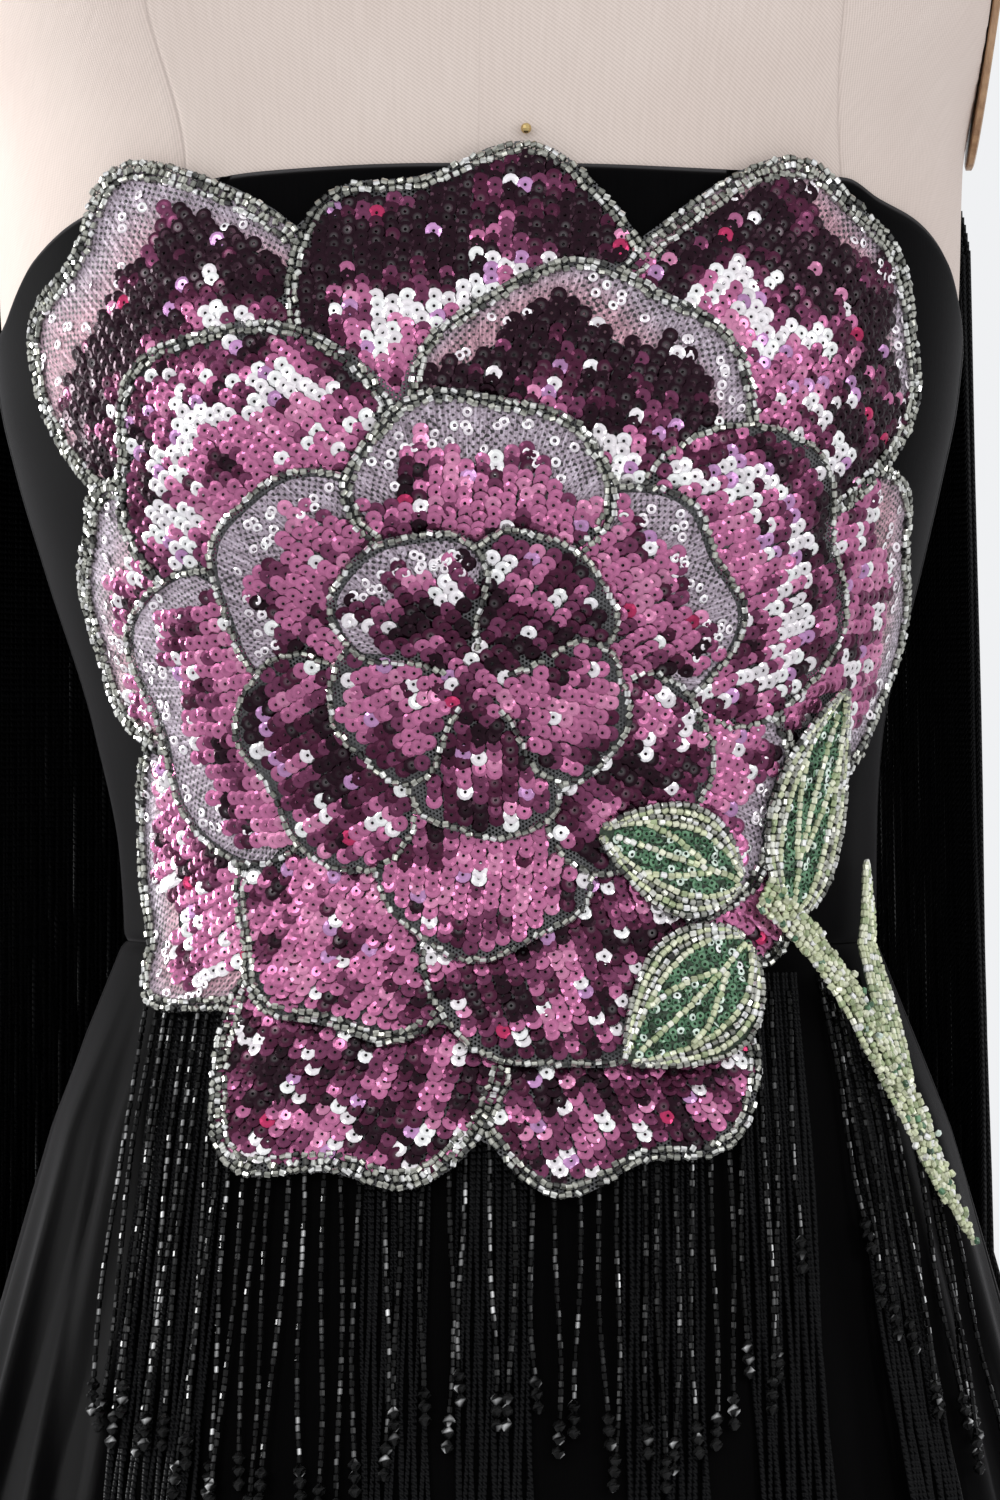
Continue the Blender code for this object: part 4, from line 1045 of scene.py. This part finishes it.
def hidden_at(layer, petal, across, z, margin):
    # Covered by a later layer, by a petal of higher rank in this one, or by a leaf
    hidden = np.zeros(np.shape(across), bool)
    for _, _, petals in BLOOM_LAYERS[layer + 1:]:
        for other in petals:
            hidden |= petal_place(other, across, z)[1] > 0.0
    for other in BLOOM_LAYERS[layer][2]:
        if other["rank"] > petal["rank"]:
            hidden |= petal_place(other, across, z)[1] > -margin
    for leaf in LEAVES:
        if leaf["level"] > layer:
            hidden |= leaf_side(leaf, across, z) < 0.9
    return hidden


def patchy(across, z, seed, pitches, loose):
    # A smooth uneven field, turned into even shares from 0 to 1, so that tints come in patches
    total = np.zeros(np.shape(across))
    for step, pitch in enumerate(pitches):
        turn = 1.3 * seed + 2.1 * step
        total += np.sin((across * math.cos(turn) + z * math.sin(turn)) * 2.0 * math.pi / pitch + seed)
        total += np.sin((across * math.sin(turn) - z * math.cos(turn)) * 2.0 * math.pi / (1.3 * pitch))
    total += stray(loose, np.shape(across))
    order = np.argsort(np.argsort(total))
    return (order + 0.5) / max(len(order), 1)


def scheme_tints(scheme, inward, across, z, seed):
    # The colour of each sequin; in patches some are painted white, a few of those orchid, as a painted
    # highlight of sequins that catch the light
    count = len(across)
    tints, painted_glint = np.zeros((count, 3)), np.zeros(count, bool)
    inward = inward + 0.0022 * np.sin(across * 310.0 + seed) + 0.0016 * np.sin(across * 770.0 + z * 300.0)
    start = -1.0
    for row in SCHEMES:
        if row["scheme"] != scheme:
            continue
        band = (inward > start) & (inward <= row["until"])
        start = row["until"]
        if not band.any():
            continue
        limits = np.cumsum([row[name] for name in SCHEME_TINTS])
        field = patchy(across[band], z[band], seed, (0.031, 0.017, 0.0105), 0.45)
        pick = np.clip(np.searchsorted(limits / limits[-1], field), 0, len(SCHEME_TINTS) - 1)
        tints[band] = np.array([TINTS[name] for name in SCHEME_TINTS])[pick]
        sparkle = patchy(across[band], z[band], seed + 1.7, (0.019, 0.011, 0.0075), 0.75)
        painted_glint[band] = sparkle > 1.0 - row["glare"]
    loose = draw.random(count) < LOOSE_SHARE
    picked = draw.choice(len(LOOSE_TINTS), count, p=LOOSE_CHANCES)
    tints[loose] = np.array([TINTS[name] for name in LOOSE_TINTS])[picked[loose]]
    # Painted highlight: the glare sequins are painted white, and a few of them orchid
    tints[painted_glint] = TINTS["white"]
    tints[painted_glint & (draw.random(count) < 0.13)] = TINTS["orchid"]
    shade = draw.normal(1.0, 0.09, (count, 1)).clip(0.75, 1.25)
    return np.clip(tints * shade, 0.0, 1.0)


def petal_lattice(petal):
    # Staggered rows of sequins that run with the petal, laid out in real metres
    turn, length = math.radians(petal["turn"]), petal["length"]
    middle = (BLOOM_X + 0.7 * length * math.sin(turn), BLOOM_Z + 0.7 * length * math.cos(turn))
    scale = float(across_scale(np.array(middle[0]), np.array(middle[1])))
    reach = length * 1.25
    along = np.arange(-CENTRE_REACH, reach, SEQUIN_PITCH_ALONG)
    side = np.arange(-reach, reach, SEQUIN_PITCH_ACROSS)
    columns, rows = np.meshgrid(np.arange(len(side)), np.arange(len(along)))
    down = along[rows] + (columns % 2) * SEQUIN_PITCH_ALONG / 2.0
    down = down + stray(0.00022, down.shape)
    aside = side[columns]
    aside = aside + stray(0.00030, aside.shape) + 0.0008 * np.sin(down * 90.0 + petal["turn"])
    across = BLOOM_X + (down * math.sin(turn) + aside * math.cos(turn)) / scale
    z = BLOOM_Z + (down * math.cos(turn) - aside * math.sin(turn))
    return across.ravel(), z.ravel()


def plate_top(level):
    return level * PLATE_STEP + PLATE_THICKNESS


def build_sequins(layer):
    name, _, petals = BLOOM_LAYERS[layer]
    pieces, tints = [], []
    for petal in petals:
        across, z = petal_lattice(petal)
        share, inward = petal_place(petal, across, z)
        radius = np.hypot(across - BLOOM_X, z - BLOOM_Z)
        edge = 0.0030 + 0.45 * petal["rows"] * 0.0012
        side_room = (1.0 - np.abs(share)) * math.radians(petal["span"]) * radius
        uneven = 0.0035 * np.sin(share * 11.0 + petal["turn"]) + stray(0.0012, len(z))
        limit = np.where(petal["margin"] > 0.0, margin_width(petal, share) + uneven, 0.0)
        centre = radius < CENTRE_REACH
        inward = np.where(centre, 0.020, inward)
        keep = (inward > edge + np.maximum(limit, 0.0)) & (side_room > 0.0032) & ~centre
        keep &= ~hidden_at(layer, petal, across, z, 0.0022)
        # The topmost petal of the heart fills the bloom's middle
        keep |= centre & (layer == 3) & (petal["rank"] == 5)
        across, z, inward, limit = across[keep], z[keep], inward[keep], limit[keep]
        count = len(z)
        pieces.append(laid_pieces(
            across, z, plate_top(layer) + SEQUIN_LIFT, math.radians(petal["turn"]) + stray(0.12, count),
            math.radians(SEQUIN_TILT) + stray(0.10, count), stray(0.10, count)))
        seed = petal["turn"] * 0.05 + layer
        tints.append(scheme_tints(petal["scheme"], inward - limit - edge, across, z, seed))
    shape = ring_shape(SEQUIN_RADIUS, SEQUIN_HOLE, SEQUIN_CUP, SEQUIN_SIDES)
    # Painted shade: each sequin's rim and the edge of its hole are darker than its middle
    tints = np.concatenate(tints)[:, None, :] * np.repeat((0.84, 1.0, 0.74), SEQUIN_SIDES)[None, :, None]
    # A painted highlight on the hole's edge of some dark sequins, where it would catch the light
    dark = (tints.max(axis=(1, 2)) < 0.10)[:, None] * draw.random((len(tints), 1)) ** 3.0
    tints = tints + (dark * (np.arange(3 * SEQUIN_SIDES) >= 2 * SEQUIN_SIDES) * 0.10)[..., None]
    scatter("sequins_" + name, shape, *joined(pieces), tints, SEQUINS, "sequins", (name,))


def petal_outline(petal):
    # The petal's edge as a fine line in the flat design: up one side, round the tip and down the other
    share = np.linspace(-1.0, 1.0, 400)
    tip = petal_reach(petal, share)
    down = np.linspace(0.35, 0.995, 160)
    radius = np.concatenate([down * tip[0], tip, down[::-1] * tip[-1]])
    return petal_spot(petal, np.concatenate([np.full(160, -1.0), share, np.full(160, 1.0)]), radius)


def evenly(across, z, pitch):
    # Points an even real distance apart along a line of the flat design, and its heading there
    line = flat_point(across, z, 0.0)
    length = np.concatenate([[0.0], np.cumsum(np.linalg.norm(np.diff(line, axis=0), axis=1))])
    at = np.arange(0.0, length[-1], pitch)
    across, z = np.interp(at, length, across), np.interp(at, length, z)
    scale = across_scale(across, z)
    return across, z, np.arctan2(np.gradient(across) * scale, np.gradient(z)), scale


def varied_tints(kinds, shares, spread, count):
    pick = draw.choice(len(kinds), count, p=shares)
    return np.clip(np.array(kinds)[pick] * draw.normal(1.0, spread, (count, 1)), 0.0, 1.0)


def silver_tints(count):
    # Silver-lined beads in four greys, partly their own tone and partly painted reflection: the near-white
    # kind is a painted glint and the near-black kind painted reflection of dark; bead_shade adds painted
    # shade
    kinds = ((0.56, 0.56, 0.50), (0.98, 0.99, 0.94), (0.32, 0.325, 0.29), (0.10, 0.10, 0.095))
    return varied_tints(kinds, (0.42, 0.32, 0.19, 0.07), 0.12, count)[:, None, :] * bead_shade(0.30)


def green_tints(count, pale):
    # Green beads in four tones; the last, near-white kind of each list is a painted highlight
    pales = ((0.66, 0.70, 0.46), (0.88, 0.90, 0.68), (0.42, 0.50, 0.28), (1.00, 1.00, 0.92))
    deeps = ((0.060, 0.155, 0.080), (0.120, 0.260, 0.145), (0.014, 0.042, 0.018), (0.78, 0.92, 0.82))
    return varied_tints(pales if pale else deeps, (0.42, 0.28, 0.18, 0.12), 0.14, count)


def build_outlines(layer):
    # One to three rows of silver beads inside the edge of each petal
    name, _, petals = BLOOM_LAYERS[layer]
    pieces = []
    for petal in petals:
        for row in range(petal["rows"]):
            across, z, heading, scale = evenly(*petal_outline(petal), SILVER_LENGTH * 1.06)
            shift = (row + 0.5) * SILVER_ROW_PITCH - 0.0006
            # Inwards is to the right of the line as it runs up one side and over the tip
            across = across + shift * np.cos(heading) / scale
            z = z - shift * np.sin(heading)
            keep = ~hidden_at(layer, petal, across, z, 0.0004) & (draw.random(len(z)) > 0.03)
            across, z, heading = across[keep], z[keep], heading[keep]
            count = len(z)
            # The middle row of three lies crosswise
            cross = (math.pi / 2.0) * (petal["rows"] == 3 and row == 1)
            pieces.append(laid_pieces(
                across + stray(0.00025, count), z + stray(0.00025, count), plate_top(layer) + SILVER_LIFT,
                heading + cross + stray(0.34, count), stray(0.16, count), stray(0.5, count)))
    places, axes = joined(pieces)
    shape = bead_shape(SILVER_RADIUS, SILVER_LENGTH)
    scatter("edge_beads_" + name, shape, places, axes, silver_tints(len(places)), SILVER)


def build_net(layer):
    # The net that each layer is sewn on, cut just past its outer beads
    name, _, petals = BLOOM_LAYERS[layer]
    turn = np.linspace(0.0, 360.0, 240, endpoint=False)
    angle = np.radians(turn)
    reach = np.zeros(len(turn))
    for petal in petals:
        share = signed_turn(turn - petal["turn"]) / petal["span"]
        reach = np.maximum(reach, np.where(np.abs(share) < 1.0, petal_reach(petal, share), 0.0))
    start = NET_STARTS[layer]
    share = np.linspace(0.0, 1.0, 26)[:, None]
    radius = start + share * (reach + 0.0006 - start)
    across, z = BLOOM_X + radius * np.sin(angle), BLOOM_Z + radius * np.cos(angle)
    points = flat_point(across, z, plate_top(layer) + 0.0002 * np.sin(angle * 17.0) * share)
    made = grid_object("net_" + name, points, np.stack([across * 1.05, z], axis=-1), closed=True, flip=True)
    finish_piece(made, NET)


def build_embroidery(layer):
    # Satin-stitched margins inside the tips of the petals that have one
    name, _, petals = BLOOM_LAYERS[layer]
    columns, rows = 90, 14
    share = np.linspace(-0.86, 0.86, columns)[None, :]
    part = np.linspace(0.0, 1.0, rows)[:, None]
    blend = smooth_step(0.1, 0.9, part + 0.3 * np.sin(share * 3.0))[..., None]
    quads = grid_faces(rows, columns)
    patches = []
    for petal in petals:
        if petal["margin"] <= 0.0:
            continue
        wide = margin_width(petal, share) + 0.006
        radius = petal_reach(petal, share) - 0.0025 - (1.0 - part) * wide
        across, z = petal_spot(petal, share, radius)
        around = share * math.radians(petal["span"])
        ribs = 0.00012 * np.sin(around * radius / 0.0013 * 2.0 * math.pi)
        shown = ~hidden_at(layer, petal, across, z, 0.0).ravel()[quads].any(axis=1)
        low = np.array((1.0, 0.62, 0.70) if petal["scheme"] in ("night", "blush") else (0.92, 0.86, 0.95))
        patches.append((
            flat_point(across, z, plate_top(layer) + STITCH_LIFT + ribs).reshape(-1, 3),
            np.stack([around * petal["length"] + 0 * radius, radius], axis=-1).reshape(-1, 2),
            (low * (1.0 - blend) + np.array((0.90, 0.86, 0.95)) * blend).reshape(-1, 3),
            quads[shown][:, ::-1] + len(patches) * rows * columns))
    points, uv, tint, faces = [np.concatenate(part) for part in zip(*patches)]
    finish_piece(mesh_object("embroidery_" + name, points, [faces], uv, tint), EMBROIDERY)


def build_loose_rings(layer):
    # Small white rings sprinkled over the embroidered margins
    name, _, petals = BLOOM_LAYERS[layer]
    pieces = []
    for petal in petals:
        if petal["margin"] <= 0.0:
            continue
        share = draw.uniform(-0.7, 0.7, 26)
        radius = petal_reach(petal, share) - draw.uniform(0.0045, petal["margin"] + 0.004, 26)
        across, z = petal_spot(petal, share, radius)
        keep = ~hidden_at(layer, petal, across, z, 0.001)
        count = int(keep.sum())
        pieces.append(laid_pieces(across[keep], z[keep], plate_top(layer) + LOOSE_RING_LIFT,
                                  draw.uniform(0, 6.28, count), stray(0.2, count), stray(0.2, count)))
    places, axes = joined(pieces)
    tints = np.clip(np.array((0.95, 0.88, 0.93)) * draw.normal(1.0, 0.08, (len(places), 1)), 0.0, 1.0)
    shape = ring_shape(RING_RADIUS, 0.42, 0.00025, 12)
    scatter("loose_rings_" + name, shape, places, axes, tints, SEQUINS, "sequins")


# Leaves and stem

def leaf_point(leaf, share, lean):
    heading = math.radians(leaf["heading"])
    half = leaf_half(leaf, share)
    across = leaf["base_x"] + math.sin(heading) * share * leaf["length"] + math.cos(heading) * lean * half
    z = leaf["base_z"] + math.cos(heading) * share * leaf["length"] - math.sin(heading) * lean * half
    return across, z


def bead_rows(name, lines, height, level=None, silver=False, nodes=(), wobble=0.2):
    # Beads end to end along lines of the flat design, in pale green or in silver;
    # height is above the applique's underside, and level counts steps of the bloom along each line
    pieces = []
    for line in lines:
        across, z, heading, _ = evenly(*line, GREEN_LENGTH * 1.05)
        count = len(z)
        if count < 2:
            continue
        lift = height
        if level is not None:
            read = np.interp(np.linspace(0, 1, count), np.linspace(0, 1, len(level)), level)
            lift = read * PLATE_STEP + height
        pieces.append(laid_pieces(
            across + stray(0.00012, count), z + stray(0.00012, count), lift,
            heading + stray(wobble, count), stray(0.14, count), stray(0.5, count)))
    places, axes = joined(pieces)
    shape = bead_shape(GREEN_RADIUS, GREEN_LENGTH)
    if silver:
        scatter(name, shape, places, axes, silver_tints(len(places)), SILVER)
    else:
        tints = green_tints(len(places), True)[:, None, :] * bead_shade(0.70, 0.76)
        scatter(name, shape, places, axes, tints, GREEN, "green_beads", nodes)
    return places, axes


def build_leaf(leaf):
    name, length, width = leaf["name"], leaf["length"], leaf["width"]
    top = plate_top(leaf["level"])
    wide = width > 0.02

    def edges(*widths):
        return [leaf_point(leaf, np.linspace(0.02, 0.985, 120), side * part)
                for side in (-1.0, 1.0) for part in widths]

    lines = edges(0.85, 0.60) if wide else edges(0.90, 0.50)
    lines.append(leaf_point(leaf, np.linspace(0.04, 0.90, 120), np.zeros(120)))
    if wide:
        lines.append(leaf_point(leaf, np.linspace(0.30, 0.72, 60), np.linspace(0.1, 0.55, 60)))
        lines.append(leaf_point(leaf, np.linspace(0.25, 0.66, 60), np.linspace(-0.1, -0.55, 60)))
        bead_rows(name + "_silver", edges(0.985, 0.725), top + SILVER_LIFT, silver=True)
    bead_rows(name + "_beads", lines, top + GREEN_LIFT, nodes=(name,))

    # Deep green rings fill the blade between the rows of beads
    grid_x, grid_z = np.meshgrid(*2 * [np.arange(-0.04, 0.09, 0.0021)])
    across = leaf["base_x"] + grid_x.ravel() + stray(0.0003, grid_x.size)
    z = leaf["base_z"] + grid_z.ravel() - 0.03 + stray(0.0003, grid_x.size)
    keep = leaf_side(leaf, across, z) < 0.56
    count = int(keep.sum())
    pieces = laid_pieces(across[keep], z[keep], top + LEAF_RING_LIFT, draw.uniform(0, 6.28, count),
                         stray(0.3, count), stray(0.3, count))
    tints = green_tints(count, False)
    scatter(name + "_rings", ring_shape(0.0013, 0.40, 0.0003, 8), *pieces, tints, GREEN, "green_beads")

    # The net blade under the beads
    share = np.linspace(0.02, 0.99, 40)[:, None]
    across, z = leaf_point(leaf, share, np.linspace(-1.0, 1.0, 15)[None, :])
    blade = grid_object(name + "_net", flat_point(across, z, top + 0.0002), np.stack([across, z], axis=-1))
    finish_piece(blade, LEAF_GROUND)


def build_stem():
    at = np.linspace(0.0, len(STEM) - 1.0, 240)
    across, z, width, level = [np.interp(at, np.arange(len(STEM)), column(STEM, name))
                               for name in ("across", "z", "width", "level")]
    # The corners of the centre line are smoothed
    across, z, width = [
        np.convolve(np.pad(line, 15, mode="reflect", reflect_type="odd"), np.ones(31) / 31.0, mode="valid")
        for line in (across, z, width)]
    ahead_x, ahead_z = np.gradient(across), np.gradient(z)
    size = np.hypot(ahead_x, ahead_z)
    side_x, side_z = ahead_z / size, -ahead_x / size
    lines = []
    for lean in (-0.50, -0.25, 0.0, 0.25, 0.50):
        # The outer rows end where the stem gets too narrow for them
        keep = width > 0.0018 * (1.0 + 6.0 * abs(lean))
        lines.append(((across + side_x * lean * width)[keep], (z + side_z * lean * width)[keep]))
    places, axes = bead_rows("stem_beads", lines, PLATE_THICKNESS + GREEN_LIFT, level,
                             nodes=("stem",), wobble=0.5)
    # A second, scattered layer makes the stem bumpy
    picked = draw.random(len(places)) < 0.55
    places, axes = places[picked], axes[picked]
    count = len(places)
    places = places + axes[:, 2] * draw.uniform(0.0004, 0.0013, (count, 1)) + stray(0.0004, (count, 3))
    spin = draw.uniform(0.0, math.pi, (count, 1))
    along = axes[:, 0] * np.cos(spin) + axes[:, 1] * np.sin(spin)
    axes = np.stack([along, np.cross(axes[:, 2], along), axes[:, 2]], axis=1)
    deep = draw.random(count) < 0.14
    tints = np.where(deep[:, None], green_tints(count, False), green_tints(count, True))
    tints = tints[:, None, :] * bead_shade(0.70, 0.76)
    shape = bead_shape(GREEN_RADIUS, GREEN_LENGTH)
    scatter("stem_bumps", shape, places, axes, tints, GREEN, "green_beads")


# Fringe

def bloom_low_edge(turn):
    across = np.radians(turn) * TURN_WIDTH - BLOOM_X
    radius = 0.124
    low = BLOOM_Z - np.sqrt(np.maximum(radius * radius - across * across, 0.0))
    return np.where(np.abs(across) < radius * 0.98, np.minimum(low, WAIST_Z - 0.016), WAIST_Z - 0.016)


def stem_edge(turn):
    return np.interp(np.radians(turn) * TURN_WIDTH, column(STEM, "across"), column(STEM, "z")) - 0.002


def front_strand(turn, z, lean, offset, sway=0.0):
    # The line of one strand down the front, at these heights
    leaning = cloth_point(turn, z, offset, folded=False)[:, 0]
    x = leaning[0] + lean * (leaning - leaning[0]) + sway
    return cloth_point(turn_at(x, z, offset), z, offset, folded=False)


def strand_axes(points):
    # Axes for beads strung along a line: x down the line
    ahead = unit(np.gradient(points, axis=0))
    side = unit(np.cross(ahead, unit(points * np.array((1.0, 1.0, 0.0)))))
    return np.stack([ahead, side, np.cross(ahead, side)], axis=1)


def bead_glints(line, strand):
    # Black beads, each with one facet that may carry a painted glint; some strands and stretches get more
    # painted glint
    strand_light = 0.06 + 0.94 * (0.5 + 0.5 * math.sin(strand * 2.9 + 1.3 * math.sin(strand * 1.7))) ** 2.0
    stretch = 0.55 + 0.45 * np.sin(line[:, 2] * 95.0 + strand * 2.2)
    light = 1.50 * strand_light * stretch * draw.random(len(line)) ** 4.2
    facet = np.zeros((4, BEAD_SIDES))
    facet[1:3, 0] = 1.0
    grey = draw.choice((0.0015, 0.0050), len(line))[:, None] + light[:, None] * facet.ravel()[None, :]
    return np.repeat(grey[..., None], 3, axis=-1)


def drop_glints(count):
    # Black crystals, of which a few corners are painted with a glint
    size = (count, 4 * DROP_SIDES)
    painted_glint = draw.random(size) < 0.05
    grey = np.where(painted_glint, draw.uniform(0.10, 0.80, size), draw.choice((0.001, 0.012), size))
    return np.repeat(grey[..., None], 3, axis=-1)


def build_bead_fringe(group):
    name, lean = group["name"], group["lean"]
    turns = np.linspace(group["first_turn"], group["last_turn"], group["count"])
    turns = turns + 0.42 * np.sin(np.arange(len(turns)) * 2.1 + group["first_turn"])
    roots = stem_edge(turns) if name.endswith("stem") else bloom_low_edge(turns)
    out = CLOTH_OUTSIDE + BEAD_OFFSET + 0.0008
    beads, tints, drops = [], [], []
    for step, (turn, root) in enumerate(zip(turns, roots)):
        x = cloth_point(turn, root, CLOTH_OUTSIDE, folded=False)[0]
        uneven = BEAD_ENDS_UNEVEN * math.sin(2.4 * step + 0.7)
        end = float(np.interp(x * (1.0 + 0.12 * lean), END_X, END_Z)) + uneven
        line = front_strand(turn, np.arange(root + 0.002, end + 0.006, -BUGLE_LENGTH * 1.04), lean, out)
        sway = 0.0011 * np.sin(np.linspace(0.0, 6.5, len(line)) + 2.3 * step)
        line[:, 0] += (sway + 0.0016 * math.sin(3.7 * step)) * np.linspace(0.0, 1.0, len(line))
        axes = strand_axes(line)
        beads.append((line, axes))
        tints.append(bead_glints(line, step + group["first_turn"]))
        # Three faceted crystals finish the strand
        tail = line[-1] + np.outer((0.0032, 0.0066, 0.0106), axes[-1][0])
        drops.append((tail, np.repeat(axes[-1:], len(tail), axis=0)))
    places, axes = joined(beads)
    # Turned so that the facet with the painted glint looks out from the skirt, more or less
    spin = (math.radians(240.0) + stray(0.45, len(places)))[:, None]
    side = axes[:, 1] * np.cos(spin) + axes[:, 2] * np.sin(spin)
    axes = np.stack([axes[:, 0], side, np.cross(axes[:, 0], side)], axis=1)
    shape = bead_shape(BUGLE_RADIUS, BUGLE_LENGTH)
    finish = (BLACK_BEADS, "black_beads")
    scatter(name + "_beads", shape, places, axes, np.concatenate(tints), *finish, (name,))
    places, axes = joined(drops)
    scatter(name + "_drops", drop_shape(), places, axes, drop_glints(len(places)), *finish)


def build_threads(row, lines):
    # Round threads along lines of equal length; uv runs round and down each one
    lines = np.array(lines)
    count, rings = lines.shape[:2]
    ahead = unit(np.gradient(lines, axis=1))
    side = unit(np.cross(ahead, unit(lines * np.array((1.0, 1.0, 0.0)))))
    face_out = np.cross(side, ahead)
    angles = np.linspace(0.0, 2.0 * math.pi, THREAD_SIDES, endpoint=False)
    cosine, sine = np.cos(angles)[:, None], np.sin(angles)[:, None]
    circle = side[:, :, None, :] * cosine + face_out[:, :, None, :] * sine
    points = lines[:, :, None, :] + CHAIN_RADIUS * circle
    shift = (np.arange(count) * rings * THREAD_SIDES)[:, None, None]
    faces = (grid_faces(rings, THREAD_SIDES, closed=True)[None] + shift).reshape(-1, 4)
    uv = np.stack(np.broadcast_arrays(angles * CHAIN_RADIUS, lines[:, :, 2:]), axis=-1)
    made = mesh_object(row["name"] + "_threads", points, [faces], uv)
    finish_piece(made, THREAD, "fringe_thread", (row["name"],))


def build_chain_fringe(band):
    # Three threads for each of the solid's strands
    low = WAIST_Z - 0.008
    lines = []
    for step, x in enumerate(np.linspace(band["first_x"], band["last_x"], band["count"] * 3)):
        turn = float(turn_at(x, low, CLOTH_OUTSIDE))
        out = CLOTH_OUTSIDE + CHAIN_OFFSET + 0.0007 + 0.0004 * (step % 2)
        z = np.linspace(low, FRINGE_END_Z + 0.008 * math.sin(1.9 * step), 42)
        sway = 0.0007 * np.sin(z * 60.0 + step * 2.3) * (low - z) / 0.1
        lines.append(front_strand(turn, z, band["lean"], out, sway))
    build_threads(band, lines)


def build_curtain(curtain):
    # Six threads for each of the solid's strands, from the bodice's back edge
    lines = []
    turns = np.linspace(curtain["first_turn"], curtain["last_turn"], curtain["count"] * 6)
    for step, turn in enumerate(turns):
        out = CLOTH_OUTSIDE + CURTAIN_OFFSET + 0.0008 + 0.0018 * (step % 2)
        root_z = float(top_edge_z(turn)) - 0.001
        root = cloth_point(turn, root_z, out)
        rest = cloth_point(turn, CURTAIN_REST_Z, out, folded=False)
        if math.hypot(rest[0], rest[1]) < math.hypot(root[0], root[1]):
            rest = root
        z = np.concatenate([np.linspace(root_z, CURTAIN_REST_Z, 14),
                            np.linspace(0.905, FRINGE_END_Z + 0.008 * math.sin(1.7 * step), 17)])
        share = np.clip((root_z - z) / (root_z - CURTAIN_REST_Z), 0.0, 1.0)
        hung = root * (1.0 - share[:, None]) + rest * share[:, None]
        line = np.where((z < CURTAIN_REST_Z)[:, None], cloth_point(turn, z, out, folded=False), hung)
        line[:, 2] = z
        line[:, 0] += 0.0004 * np.sin(z * 40.0 + step * 1.9) * share
        line[:, 1] += 0.0006 * np.sin(z * 31.0 + step * 2.7) * share
        lines.append(line)
    build_threads(curtain, lines)


build_stage()
build_form()
build_stand()
build_armhole_plates()
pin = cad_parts["form_pin"]
pin.data.materials.clear()
pin.data.materials.append(BRASS)
build_bodice()
build_zip()
build_skirt()
for layer_index in range(len(BLOOM_LAYERS)):
    for build in (build_net, build_embroidery, build_sequins, build_outlines, build_loose_rings):
        build(layer_index)
for leaf_row in LEAVES:
    build_leaf(leaf_row)
build_stem()
for group_row in BEAD_GROUPS:
    build_bead_fringe(group_row)
for band_row in CHAIN_BANDS:
    build_chain_fringe(band_row)
for curtain_row in CURTAINS:
    build_curtain(curtain_row)
